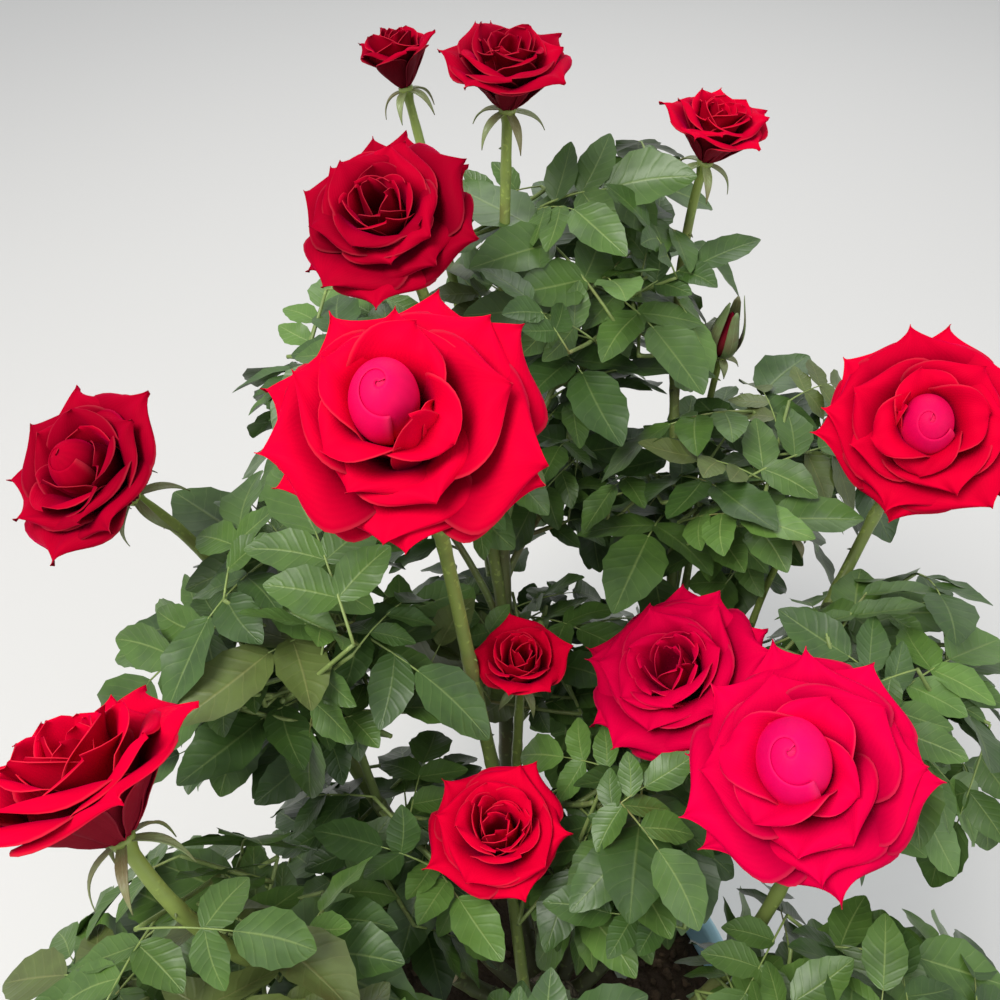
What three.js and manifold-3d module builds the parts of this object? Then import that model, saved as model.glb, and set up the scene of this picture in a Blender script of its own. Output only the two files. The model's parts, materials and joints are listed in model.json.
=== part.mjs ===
// A red rose bush in its pot: pot, soil, crown, canes, flower stems, foliage, blooms and buds.
// Millimetres, Z up. The origin is the middle of the pot's flat underside, and the front is -Y.
import * as THREE from "three";
import { mergeVertices } from "three/addons/utils/BufferGeometryUtils.js";
import Module from "manifold-3d";

// Clearances
const GAP = 0.3; // between pieces that meet
const FINE = 0.3; // the smallest step that a joined piece keeps
const CLEAR = 2.5; // from a leaf or twig to a limb that it passes
const WALL = 1.2; // from a leaf or twig to the edge of its mass's own space

// Pot and soil
const POT = { height: 240, rimRadius: 140, footRadius: 100, wall: 3.5, floor: 5, lip: 8, lipDepth: 20 };
const DRAIN = { count: 4, radius: 7, ring: 62 };
const SOIL_TOP = 214;
const SOIL_DOME = 5; // how much higher the soil is at its middle

// The crown, where all canes start, and the round canes
const CROWN = { foot: 24, waist: 16, knuckle: 21, height: 44 };
const CANE_SIDES = 6;
const STEM_SIDES = 5;
const TWIG_SIDES = 3;

// Each cane: the foot's direction round the crown in degrees, its tip, and its radius at foot and tip.
const CANES = [
  { name: "cane_left", turn: 168, rise: 30, tip: [-112, 62, 420], thick: [5.6, 4.2] },
  { name: "cane_front_left", turn: 222, rise: 28, tip: [-98, -38, 372], thick: [5.2, 4.0] },
  { name: "cane_middle", turn: 92, rise: 38, tip: [-34, 74, 392], thick: [5.8, 4.4] },
  { name: "cane_back", turn: 118, rise: 16, tip: [-34, 214, 500], thick: [6.4, 4.4] },
  { name: "cane_back_right", turn: 58, rise: 26, tip: [92, 196, 452], thick: [6.0, 4.2] },
  { name: "cane_right", turn: 22, rise: 15, tip: [118, 82, 388], thick: [5.8, 4.2] },
  { name: "cane_front_right", turn: 322, rise: 30, tip: [82, -42, 330], thick: [5.2, 4.0] },
  { name: "cane_front", turn: 268, rise: 14, tip: [-14, -74, 322], thick: [5.0, 3.8] },
];
// Two old canes cut back to stubs.
const STUBS = [
  { name: "cane_stub_right", turn: 348, rise: 12, tip: [86, -14, 276], thick: [7.0, 6.2] },
  { name: "cane_stub_left", turn: 190, rise: 12, tip: [-68, 6, 282], thick: [6.4, 5.6] },
];

// Each bloom: its middle, the way it faces, its width, how far it has opened from 0 to 1, and the
// cane that its stem leaves, with the share of the cane's length where it does.
const BLOOMS = [
  { name: "bloom_1", at: [-76, 82, 712], face: [-0.06, -0.46, 0.88],
    width: 124, open: 1, cane: "cane_middle", fork: 0.78 },
  { name: "bloom_2", at: [117, 8, 552], face: [-0.38, -0.3, 0.86],
    width: 121, open: 1, cane: "cane_front_right", fork: 0.8 },
  { name: "bloom_3", at: [66, 99, 511], face: [-0.45, -0.12, 0.86],
    width: 110, open: 0.8, cane: "cane_right", fork: 0.62 },
  { name: "bloom_4", at: [203, 178, 632], face: [-0.3, -0.62, 0.66],
    width: 106, open: 0.9, cane: "cane_right", fork: 0.8 },
  { name: "bloom_5", at: [-254, 141, 629], face: [-0.35, -0.35, 0.87],
    width: 102, open: 0.45, cane: "cane_left", fork: 0.8 },
  { name: "bloom_6", at: [-208, -34, 620], face: [-0.36, 0.4, 0.84],
    width: 102, open: 0.4, cane: "cane_front_left", fork: 0.74 },
  { name: "bloom_7", at: [-98, 238, 730], face: [-0.2, -0.45, 0.87],
    width: 96, open: 0.75, cane: "cane_back", fork: 0.8 },
  { name: "bloom_8", at: [-99, 380, 756], face: [-0.22, 0.1, 0.97],
    width: 55, open: 0.2, cane: "cane_back", fork: 0.88 },
  { name: "bloom_9", at: [-31, 306, 778], face: [0.02, -0.12, 0.99],
    width: 75, open: 0.4, cane: "cane_back", fork: 0.94 },
  { name: "bloom_10", at: [92, 325, 736], face: [0.14, -0.08, 0.98],
    width: 68, open: 0.35, cane: "cane_back_right", fork: 0.82 },
  { name: "bloom_11", at: [-22, 112, 497], face: [0.02, -0.1, 0.99],
    width: 64, open: 0.3, cane: "cane_middle", fork: 0.62 },
  { name: "bloom_12", at: [-36, 18, 468], face: [-0.1, -0.12, 0.98],
    width: 84, open: 0.5, cane: "cane_front", fork: 0.7 },
  { name: "bloom_13", at: [-96, -178, 418], face: [-0.3, -0.62, 0.72],
    width: 92, open: 0.85, cane: "cane_front", fork: 0.82 },
  { name: "bloom_14", at: [118, -158, 398], face: [0.35, -0.5, 0.78],
    width: 76, open: 0.5, cane: "cane_front_right", fork: 0.6 },
  { name: "bloom_15", at: [-60, 372, 480], face: [-0.1, 0.6, 0.78],
    width: 84, open: 0.8, cane: "cane_back", fork: 0.62 },
];
// Each closed bud: the point where it sits on its stem, the way it points, and its width.
const BUDS = [
  { name: "bud_right", at: [112, 292, 596], face: [0.05, -0.05, 1],
    width: 19, cane: "cane_back_right", fork: 0.7 },
  { name: "bud_small", at: [154, 190, 528], face: [0.2, -0.1, 1],
    width: 13, cane: "cane_right", fork: 0.5 },
];

// Each mass of foliage: the cane that its own stem leaves, the share of that cane's length where it
// does (1 is the tip), the middle and reach of its space, and the seed of its growth.
const MASSES = [
  { name: "foliage_left", from: "cane_left", fork: 1,
    at: [-140, 118, 494], reach: 150, seed: 12 },
  { name: "foliage_front_left", from: "cane_front_left", fork: 1,
    at: [-158, -60, 430], reach: 148, seed: 28 },
  { name: "foliage_middle", from: "cane_middle", fork: 1,
    at: [20, 44, 404], reach: 146, seed: 31 },
  { name: "foliage_back_left", from: "cane_back", fork: 0.78,
    at: [-98, 262, 530], reach: 146, seed: 48 },
  { name: "foliage_back_right", from: "cane_back_right", fork: 1,
    at: [98, 232, 496], reach: 152, seed: 71 },
  { name: "foliage_top", from: "cane_back", fork: 1,
    at: [22, 322, 606], reach: 138, seed: 67 },
  { name: "foliage_right", from: "cane_right", fork: 1,
    at: [168, 104, 436], reach: 150, seed: 83 },
  { name: "foliage_front_right", from: "cane_front_right", fork: 1,
    at: [132, -60, 364], reach: 146, seed: 101 },
  { name: "foliage_front", from: "cane_front", fork: 1,
    at: [4, -108, 364], reach: 142, seed: 114 },
  { name: "foliage_back_low", from: "cane_back", fork: 0.45,
    at: [-4, 190, 412], reach: 140, seed: 129 },
  { name: "foliage_inner_left", from: "cane_stub_left", fork: 0.8,
    at: [-92, 30, 404], reach: 120, seed: 141 },
  { name: "foliage_inner_back", from: "cane_back", fork: 0.9,
    at: [12, 276, 470], reach: 116, seed: 151 },
];
// How a mass grows: its twigs and their length, how many leaves it tries and keeps, and how near
// each other the middles of two leaflets may be.
const GROWTH = { twigs: 4, twigLength: 56, tries: 600, most: 6, crowd: 25 };
const GOLDEN_TURN = Math.PI * (3 - Math.sqrt(5));
// A leaf: its stalk, the places of its pairs of leaflets along it, how far they turn out, the fewest
// leaflets that it keeps, and the size of a leaflet.
const LEAF = { stalk: 84, thick: 1.2, pairs: [0.38, 0.76], turn: 1.12, fewest: 4 };
const LEAFLET = { length: 60, slim: 0.64, lens: 1.4, fold: 4 };
const SEPAL = { count: 5, wide: 7, thick: 1.4, room: 3 };

// Arithmetic on points
const vec = (p) => new THREE.Vector3(...p);
const UP = new THREE.Vector3(0, 0, 1);
const plus = (a, b, share = 1) => a.clone().addScaledVector(b, share);
const unit = (v) => v.clone().normalize();
// A direction turned from one towards another that is square to it.
const mixed = (a, b, turn) => plus(a.clone().multiplyScalar(Math.cos(turn)), b, Math.sin(turn));

// A run of numbers from 0 to 1 that is the same each time for the same seed.
function randomFrom(seed) {
  let state = seed * 7919 + 17;
  const next = () => {
    state = (state * 48271) % 2147483647;
    return state / 2147483647;
  };
  next();
  next();
  return next;
}

// The two directions across an axis; the second is as level as it can be.
function across(axis) {
  const level = new THREE.Vector3().crossVectors(UP, axis);
  if (level.length() < 0.05) level.set(1, 0, 0);
  level.normalize();
  return [new THREE.Vector3().crossVectors(axis, level).normalize(), level];
}

const wasm = await Module();
wasm.setup();

// A closed geometry as a solid that can be cut and joined.
function solidOf(geometry) {
  const bare = new THREE.BufferGeometry();
  bare.setAttribute("position", geometry.getAttribute("position"));
  bare.setIndex(geometry.index);
  const merged = mergeVertices(bare, 1e-4);
  const made = new wasm.Manifold(
    new wasm.Mesh({
      numProp: 3,
      vertProperties: new Float32Array(merged.getAttribute("position").array),
      triVerts: new Uint32Array(merged.index.array),
    }),
  );
  return made;
}

// A solid back as a three.js geometry, flat shaded.
function geometryOf(solid) {
  const mesh = solid.getMesh();
  const points = new Float32Array(mesh.numVert * 3);
  for (let i = 0; i < mesh.numVert; i++) {
    points.set(mesh.vertProperties.subarray(i * mesh.numProp, i * mesh.numProp + 3), i * 3);
  }
  const geometry = new THREE.BufferGeometry();
  geometry.setAttribute("position", new THREE.BufferAttribute(points, 3));
  geometry.setIndex(new THREE.BufferAttribute(new Uint32Array(mesh.triVerts), 1));
  return geometry;
}

// A closed solid from points and the triangles between them, turned to face outwards.
function solidFrom(points, faces) {
  let volume = 0;
  for (const [a, b, c] of faces) {
    volume += points[a].dot(new THREE.Vector3().crossVectors(points[b], points[c]));
  }
  const turned = volume < 0 ? faces.map(([a, b, c]) => [a, c, b]) : faces;
  const geometry = new THREE.BufferGeometry();
  const numbers = points.flatMap((p) => [p.x, p.y, p.z]);
  geometry.setAttribute("position", new THREE.Float32BufferAttribute(numbers, 3));
  geometry.setIndex(turned.flat());
  return solidOf(geometry);
}

// A tapering limb: a regular polygon carried along a curve, its radius a function of the share of
// the length, and closed with a flat face at each end.
function limb(curve, steps, sides, radiusAt) {
  const frames = curve.computeFrenetFrames(steps, false);
  const points = [];
  const faces = [];
  for (let i = 0; i <= steps; i++) {
    const middle = curve.getPointAt(i / steps);
    for (let j = 0; j < sides; j++) {
      const out = mixed(frames.normals[i], frames.binormals[i], (2 * Math.PI * j) / sides);
      points.push(plus(middle, out, radiusAt(i / steps)));
    }
  }
  const at = (i, j) => i * sides + (j % sides);
  for (let i = 0; i < steps; i++) {
    for (let j = 0; j < sides; j++) {
      faces.push([at(i, j), at(i, j + 1), at(i + 1, j + 1)], [at(i, j), at(i + 1, j + 1), at(i + 1, j)]);
    }
  }
  for (let j = 1; j < sides - 1; j++) {
    faces.push([at(0, 0), at(0, j + 1), at(0, j)], [at(steps, 0), at(steps, j), at(steps, j + 1)]);
  }
  return solidFrom(points, faces);
}

// A thin blade: a rim of points round one point above and one below, so that it has two faces for
// each point of its rim.
function blade(rim, above, below) {
  const points = [...rim, above, below];
  const count = rim.length;
  const faces = [];
  for (let i = 0; i < count; i++) {
    const next = (i + 1) % count;
    faces.push([i, next, count], [next, i, count + 1]);
  }
  return solidFrom(points, faces);
}

// The pot: a tapering wall with a rolled lip round its mouth, a flat floor and drain holes.
function potSolid() {
  const { height, rimRadius, footRadius, wall, floor, lip, lipDepth } = POT;
  const wallAt = (z) => footRadius + ((rimRadius - lip - footRadius) * z) / height;
  const profile = [
    [0, 0],
    [footRadius - 2, 0],
    [footRadius, 3],
    [wallAt(height - lipDepth), height - lipDepth],
    [rimRadius - 2, height - lipDepth + 1],
    [rimRadius, height - lipDepth + 5],
    [rimRadius, height - 4],
    [rimRadius - 3, height],
    [rimRadius - lip - wall + 2, height],
    [rimRadius - lip - wall, height - 3],
    [wallAt(floor) - wall, floor],
    [0, floor],
  ].map(([r, z]) => new THREE.Vector2(r, z));
  let pot = solidOf(new THREE.LatheGeometry(profile, 24).rotateX(Math.PI / 2));
  for (let i = 0; i < DRAIN.count; i++) {
    const turn = (2 * Math.PI * (i + 0.5)) / DRAIN.count;
    const hole = new THREE.CylinderGeometry(DRAIN.radius, DRAIN.radius, floor * 3, 8);
    hole.rotateX(Math.PI / 2);
    hole.translate(DRAIN.ring * Math.cos(turn), DRAIN.ring * Math.sin(turn), floor / 2);
    pot = pot.subtract(solidOf(hole));
  }
  return pot;
}

// The soil: fills the pot to a little under its rim, and is a little higher in the middle.
function soilSolid() {
  const { height, rimRadius, footRadius, wall, floor, lip } = POT;
  const innerAt = (z) => footRadius + ((rimRadius - lip - footRadius) * z) / height - wall - 2 * GAP;
  const profile = [
    [0, floor + GAP],
    [innerAt(floor) - 1, floor + GAP],
    [innerAt(SOIL_TOP), SOIL_TOP],
    [innerAt(SOIL_TOP) * 0.5, SOIL_TOP + SOIL_DOME],
    [CROWN.foot + 6, SOIL_TOP + SOIL_DOME],
    [0, SOIL_TOP + SOIL_DOME],
  ].map(([r, z]) => new THREE.Vector2(r, z));
  return solidOf(new THREE.LatheGeometry(profile, 24).rotateX(Math.PI / 2));
}

const GROUND = SOIL_TOP + SOIL_DOME + GAP;

// The crown: a knuckle of old wood that flares from a waist to its flat cut at the soil. Room round
// it is left by a larger one.
function crownSolid(room = 0) {
  const { foot, waist, knuckle, height } = CROWN;
  const profile = [
    [0, -room],
    [foot + room, -room],
    [foot * 0.82 + room, 4],
    [waist + room, 13],
    [knuckle + room, 30],
    [knuckle * 0.75 + room, height - 3],
    [0, height + room],
  ].map(([r, z]) => new THREE.Vector2(r, GROUND + z));
  return solidOf(new THREE.LatheGeometry(profile, 12).rotateX(Math.PI / 2));
}

// The curve of a limb that leaves one point in one direction and reaches another in its own.
function route(start, startWay, end, endWay, slack) {
  const reach = start.distanceTo(end) * slack;
  return new THREE.CubicBezierCurve3(
    start,
    plus(start, unit(startWay), reach),
    plus(end, unit(endWay), -reach),
    end,
  );
}

const LINE_STEP = 5; // between the points that note where a limb runs
// Points along a direction, each with the radius that leaves keep clear of.
const spots = (root, way, lengths, radius) => lengths.map((at) => ({ at: plus(root, way, at), radius }));
const limbs = []; // lines of all limbs with their radii, which leaves keep clear of
const rooms = []; // the room that each limb needs

// A limb from its curve, with the room that it needs round it, noted for the leaves.
function grow(curve, steps, sides, radiusAt) {
  const count = Math.ceil(curve.getLength() / LINE_STEP);
  const line = [];
  for (let i = 0; i <= count; i++) {
    line.push({ at: curve.getPointAt(i / count), radius: radiusAt(i / count) });
  }
  const room = limb(curve, steps, sides, (share) => radiusAt(share) + GAP + FINE);
  limbs.push(line);
  rooms.push(room);
  const others = rooms.slice(0, -1);
  return { curve, line, room, others, solid: limb(curve, steps, sides, radiusAt) };
}

function growCane({ turn, rise, tip, thick: [foot, top] }) {
  const angle = THREE.MathUtils.degToRad(turn);
  const out = new THREE.Vector3(Math.cos(angle), Math.sin(angle), 0);
  const start = plus(new THREE.Vector3(0, 0, GROUND + rise), out, CROWN.waist * 0.4);
  const end = vec(tip);
  const lean = unit(plus(end, start, -1));
  const curve = route(start, plus(out, UP, 0.9), end, plus(lean, UP, 0.5), 0.34);
  return grow(curve, 6, CANE_SIDES, (share) => foot + (top - foot) * share);
}

// A flower stem: leaves its cane, ends square under the bloom in a swelling, the hip, and carries
// sepals, which bend back.
function growFlowerStem({ cane, fork, width, open }, end, face) {
  const parent = canes[cane];
  const start = parent.curve.getPointAt(fork);
  const along = parent.curve.getTangentAt(fork);
  const lean = unit(plus(end, start, -1));
  const curve = route(start, plus(along, lean, 1.2), end, face, 0.36);
  const slim = 2 + width * 0.014;
  const hip = slim + 1.2 + width * 0.014;
  const radiusAt = (share) => (share > 0.96 ? hip : slim + (1 - share) * 0.9);
  const grown = grow(curve, 6, STEM_SIDES, radiusAt);
  const [front, side] = across(face);
  const sepals = [];
  for (let i = 0; i < SEPAL.count; i++) {
    const out = mixed(front, side, (2 * Math.PI * i) / SEPAL.count + open);
    const way = unit(plus(out, face, -0.45 - 0.35 * open));
    const root = plus(plus(end, face, -2.4), out, hip * 0.35);
    const long = 12 + width * 0.2;
    sepals.push(leaflet(root, way, face, long, SEPAL.wide, SEPAL.thick, 0));
    limbs.push(spots(root, way, [0.3, 0.55, 0.8, 1].map((share) => share * long), SEPAL.room));
  }
  const whole = wasm.Manifold.union([grown.solid, ...sepals]);
  return largest(whole.subtract(wasm.Manifold.union(grown.others)));
}

// The biggest body of a solid, without steps finer than a given one; the others are scraps of a cut.
function largest(solid, fine = FINE) {
  return solid.asOriginal().simplify(fine).decompose().sort((a, b) => b.volume() - a.volume())[0];
}

// A leaflet or sepal: a folded lens whose rim is its base, two sides and tip.
function leaflet(base, along, face, length, width, thick, fold) {
  const normal = unit(plus(face, along, -face.dot(along)));
  const side = new THREE.Vector3().crossVectors(normal, along);
  const belly = plus(base, along, length * 0.44);
  const rim = [
    base,
    plus(plus(belly, side, width / 2), normal, fold),
    plus(plus(base, along, length), normal, -fold * 0.5),
    plus(plus(belly, side, -width / 2), normal, fold),
  ];
  return blade(rim, plus(belly, normal, thick / 2), plus(belly, normal, -thick / 2));
}

// A bloom about its own axis, upright over the origin: an egg-shaped heart and rings of petals. Each
// petal is a lens with six rim points, from its claw at the axis to its pointed tip.
function bloomSolid({ width, open, name }) {
  const random = randomFrom(name.length * 31 + width);
  const radius = width / 2;
  const tall = width * (0.62 - 0.2 * open);
  const heart = [
    [0, 0],
    [4, 0],
    [radius * 0.2 + 2, tall * 0.24],
    [radius * 0.33, tall * 0.7],
    [radius * 0.24, tall * 0.94],
    [0, tall * 1.04],
  ].map(([r, z]) => new THREE.Vector2(r, z));
  const pieces = [solidOf(new THREE.LatheGeometry(heart, 6).rotateX(Math.PI / 2))];
  for (const [count, reach, height, half] of petalRings(open, radius, tall)) {
    const first = random() * Math.PI;
    for (let i = 0; i < count; i++) {
      const turn = first + (2 * Math.PI * (i + 0.25 * random())) / count;
      pieces.push(petal(turn, reach * (0.92 + 0.08 * random()), height, half, radius * 0.05));
    }
  }
  return largest(wasm.Manifold.union(pieces), 2 * FINE);
}

// The rings of petals, outside first: how many, their reach, the height of their tips, and half the
// turn that one takes. The outer rings bend down as the bloom opens.
function petalRings(open, radius, tall) {
  return [
    [5, radius, tall * (0.88 - 0.3 * open), 0.74],
    [open < 0.5 ? 3 : 4, radius * (0.66 + 0.06 * open), tall * (1 - 0.14 * open), 0.9],
  ];
}

function petal(turn, reach, height, half, thick) {
  const at = (share, angle, lift) => {
    const swing = turn + angle * half;
    return new THREE.Vector3(reach * share * Math.cos(swing), reach * share * Math.sin(swing), lift);
  };
  const rim = [
    at(0.05, 0, height * 0.06),
    at(0.72, -1, height * 0.8),
    at(0.9, -0.62, height * 1.02),
    at(1, 0, height * 0.96),
    at(0.9, 0.62, height * 1.02),
    at(0.72, 1, height * 0.8),
  ];
  return blade(rim, at(0.62 + thick / reach, 0, height * 0.5), at(0.62, 0, height * 0.5 + thick));
}

// A closed bud: a pointed egg.
function budSolid(width) {
  const profile = [
    [0, 0],
    [width * 0.36, width * 0.2],
    [width * 0.5, width * 0.7],
    [width * 0.34, width * 1.4],
    [0, width * 1.9],
  ].map(([r, z]) => new THREE.Vector2(r, z));
  return solidOf(new THREE.LatheGeometry(profile, 7).rotateX(Math.PI / 2));
}

// Whether a point lies in a mass's own space: within its reach, nearer to it than to any other mass
// by the plane between the two, and clear of the pot, of every bloom and of every limb but its own.
function isFree(point, mass) {
  if (point.z < POT.height + 12) return false;
  const away = point.distanceTo(mass.middle);
  if (away > mass.reach) return false;
  for (const other of MASSES) {
    if (other === mass) continue;
    const apart = mass.middle.distanceTo(other.middle);
    const inside = (point.distanceTo(other.middle) ** 2 - away ** 2) / (2 * apart);
    if (inside < WALL) return false;
  }
  if (!isClearOfLimbs(point, mass.stem.line, CLEAR)) return false;
  return blooms.every((bloom) => isClearOfBloom(point, bloom));
}

function isClearOfLimbs(point, own, room) {
  for (const line of limbs) {
    if (line === own) continue;
    for (const { at, radius } of line) if (point.distanceTo(at) < radius + room) return false;
  }
  return true;
}

// A bloom's room is an egg shape round its middle, flat along its axis.
function isClearOfBloom(point, { middle, face, radius, tall }) {
  const away = plus(point, middle, -1);
  const along = away.dot(face);
  const flat = Math.sqrt(Math.max(0, away.lengthSq() - along * along));
  return (flat / (radius + CLEAR)) ** 2 + (along / (tall * 0.62 + CLEAR)) ** 2 > 1;
}

// A compound leaf from a point on a twig: an arching stalk with two pairs of leaflets and one at its
// tip. A leaflet that would leave the mass's space, touch something or crowd another is left out, and
// the whole leaf is where too few are left.
function growLeaf(start, way, size, mass, taken) {
  const length = LEAF.stalk * size;
  const end = plus(plus(start, way, length), UP, -length * 0.14);
  const bend = plus(plus(start, way, length * 0.5), UP, length * 0.06);
  const curve = new THREE.QuadraticBezierCurve3(start, bend, end);
  const blades = [];
  const addBlade = (share, turn) => {
    const along = curve.getTangent(share);
    const face = unit(plus(UP, along, -UP.dot(along)));
    const side = new THREE.Vector3().crossVectors(face, along);
    const out = unit(plus(mixed(along, side, turn), UP, -0.1));
    const long = LEAFLET.length * size * (turn === 0 ? 1.1 : 0.68 + 0.25 * share);
    const made = { root: curve.getPoint(share), out, face, long, wide: long * LEAFLET.slim };
    made.middle = plus(made.root, out, long * 0.5);
    const isCrowded = taken.some((each) => each.distanceTo(made.middle) < GROWTH.crowd);
    if (!isCrowded && isBladeFree(made, mass)) blades.push(made);
  };
  addBlade(1, 0);
  if (blades.length === 0) return null;
  if (![0.4, 0.7, 1].every((share) => isFree(curve.getPoint(share), mass))) return null;
  for (const share of LEAF.pairs) {
    addBlade(share, LEAF.turn);
    addBlade(share, -LEAF.turn);
  }
  if (blades.length < LEAF.fewest) return null;
  taken.push(...blades.map((each) => each.middle));
  const stalk = limb(curve, 2, TWIG_SIDES, () => LEAF.thick);
  const leaflets = blades.map(({ root, out, face, long, wide }) =>
    leaflet(plus(root, out, -LEAF.thick * 1.5), out, face, long, wide, LEAFLET.lens, LEAFLET.fold),
  );
  return [stalk, ...leaflets];
}

// Whether a whole leaflet is free, by points spread over it.
function isBladeFree({ root, out, face, long, wide }, mass) {
  const side = new THREE.Vector3().crossVectors(face, out);
  for (const share of [0.12, 0.28, 0.44, 0.58, 0.72, 0.86, 1]) {
    const half = wide * 0.5 * Math.min(share / 0.44, (1 - share) / 0.56);
    for (const swing of [-1, -0.5, 0, 0.5, 1]) {
      if (!isFree(plus(plus(root, out, long * share), side, half * swing), mass)) return false;
    }
  }
  return true;
}

// The stem of a mass, from its cane into its space. It ends at the first of a widening spiral of
// places where it clears every other limb.
function growMassStem(mass) {
  const parent = canes[mass.from];
  const along = parent.curve.getTangentAt(mass.fork);
  mass.start = plus(parent.curve.getPointAt(mass.fork), along, mass.fork === 1 ? GAP : 0);
  for (let k = 0; k < 60; k++) {
    const turn = k * GOLDEN_TURN;
    const offset = new THREE.Vector3(Math.cos(turn), Math.sin(turn), 0).multiplyScalar(k * 1.2);
    const top = plus(plus(mass.middle, offset), UP, mass.reach * 0.34);
    const lean = unit(plus(top, mass.start, -1));
    const curve = route(mass.start, plus(along, lean, 1.5), top, plus(lean, UP, 0.6), 0.35);
    const isClear = (share) => isClearOfLimbs(curve.getPointAt(share), parent.line, 6 + 2 * share);
    if ([0.2, 0.3, 0.4, 0.5, 0.6, 0.7, 0.8, 0.9, 1].every(isClear)) {
      mass.stem = grow(curve, 5, STEM_SIDES, (share) => 3 - 1.4 * share);
      return;
    }
  }
  throw new Error(mass.name + " finds no clear way for its stem");
}

// The curve of a twig: it leaves the mass's stem outwards and a little up.
function twigCurve(mass, i, random) {
  const turn = i * GOLDEN_TURN + mass.seed;
  const root = mass.stem.curve.getPointAt(0.4 + 0.13 * i);
  const out = unit(new THREE.Vector3(Math.cos(turn), Math.sin(turn), 0.3 + 0.5 * random()));
  const end = plus(root, out, GROWTH.twigLength * (0.8 + 0.4 * random()));
  return new THREE.QuadraticBezierCurve3(root, plus(plus(root, out, 14), UP, -3), end);
}

// A mass of foliage: twigs leave its stem in turn round it, and leaves leave the stem and the twigs
// in turn, each a golden angle on from the last, until enough have found room.
function growMass(mass) {
  const random = randomFrom(mass.seed);
  const carriers = [{ curve: mass.stem.curve, from: 0.35 }];
  for (let i = 0; i < GROWTH.twigs; i++) {
    const curve = twigCurve(mass, i, random);
    const free = [0.3, 0.65, 1].every((share) => isFree(curve.getPoint(share), mass));
    if (free) carriers.push({ curve, from: 0.45, isTwig: true, used: false });
  }
  const pieces = [mass.stem.solid];
  const taken = [];
  mass.kept = 0;
  for (let i = 0; i < GROWTH.tries && mass.kept < GROWTH.most; i++) {
    const carrier = carriers[i % carriers.length];
    const base = carrier.curve.getPointAt(1 - (1 - carrier.from) * random());
    const turn = i * GOLDEN_TURN + mass.seed;
    const lift = -0.2 + 1.1 * random();
    const way = unit(new THREE.Vector3(Math.cos(turn), Math.sin(turn), lift));
    const size = (1 - (0.4 * i) / GROWTH.tries) * (0.82 + 0.25 * random());
    const grown = growLeaf(base, way, size, mass, taken);
    if (!grown) continue;
    pieces.push(...grown);
    carrier.used = true;
    mass.kept += 1;
  }
  for (const { curve, isTwig, used } of carriers) {
    if (isTwig && used) pieces.push(limb(curve, 2, TWIG_SIDES, (share) => 1.9 - 0.6 * share));
  }
  const near = rooms.filter((room) => room !== mass.stem.room);
  return largest(wasm.Manifold.union(pieces).subtract(wasm.Manifold.union(near)));
}

// Sets a solid that stands upright over the origin at a point, along a direction.
function stand(solid, point, face) {
  const turn = new THREE.Quaternion().setFromUnitVectors(UP, face);
  const matrix = new THREE.Matrix4().compose(point, turn, new THREE.Vector3(1, 1, 1));
  return solid.transform(matrix.elements);
}

// The mesh of one part.
const bush = new THREE.Group();
function add(name, solid, look) {
  const material = new THREE.MeshStandardMaterial({ ...look, flatShading: true });
  const mesh = new THREE.Mesh(geometryOf(solid), material);
  mesh.name = name;
  bush.add(mesh);
}

// Looks
const POT_BLUE = { color: 0x8fb4c4, roughness: 0.55, metalness: 0 };
const SOIL_BROWN = { color: 0x2e2119, roughness: 1, metalness: 0 };
const BARK = { color: 0x6d6a3c, roughness: 0.8, metalness: 0 };
const CANE_GREEN = { color: 0x6f8f3a, roughness: 0.6, metalness: 0 };
const LEAF_GREEN = { color: 0x3f7038, roughness: 0.55, metalness: 0 };
const PETAL_RED = { color: 0xc90324, roughness: 0.65, metalness: 0 };

add("pot", potSolid(), POT_BLUE);
add("soil", soilSolid(), SOIL_BROWN);
add("crown", crownSolid(), BARK);

for (const mass of MASSES) mass.middle = vec(mass.at);

rooms.push(crownSolid(GAP + FINE));
const canes = {};
for (const cane of [...CANES, ...STUBS]) {
  canes[cane.name] = growCane(cane);
  const { solid, others } = canes[cane.name];
  add(cane.name, largest(solid.subtract(wasm.Manifold.union(others))), CANE_GREEN);
}

const blooms = [];
for (const bloom of BLOOMS) {
  const face = unit(vec(bloom.face));
  const tall = bloom.width * (0.62 - 0.2 * bloom.open);
  const base = plus(vec(bloom.at), face, -tall * 0.55);
  blooms.push({ middle: vec(bloom.at), face, radius: bloom.width / 2, tall });
  add(bloom.name, stand(bloomSolid(bloom), base, face), PETAL_RED);
  const stem = growFlowerStem(bloom, plus(base, face, -GAP), face);
  add(bloom.name.replace("bloom", "flower_stem"), stem, CANE_GREEN);
}

for (const bud of BUDS) {
  const face = unit(vec(bud.face));
  const stem = growFlowerStem({ ...bud, open: 0 }, vec(bud.at), face);
  const closed = stand(budSolid(bud.width), plus(vec(bud.at), face, -1), face);
  const heights = [0.4, 0.9, 1.4, 1.9].map((share) => share * bud.width);
  limbs.push(spots(vec(bud.at), face, heights, bud.width / 2));
  add(bud.name, largest(stem.add(closed)), CANE_GREEN);
}

for (const mass of MASSES) growMassStem(mass);
for (const mass of MASSES) add(mass.name, growMass(mass), LEAF_GREEN);

export default bush;
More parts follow.
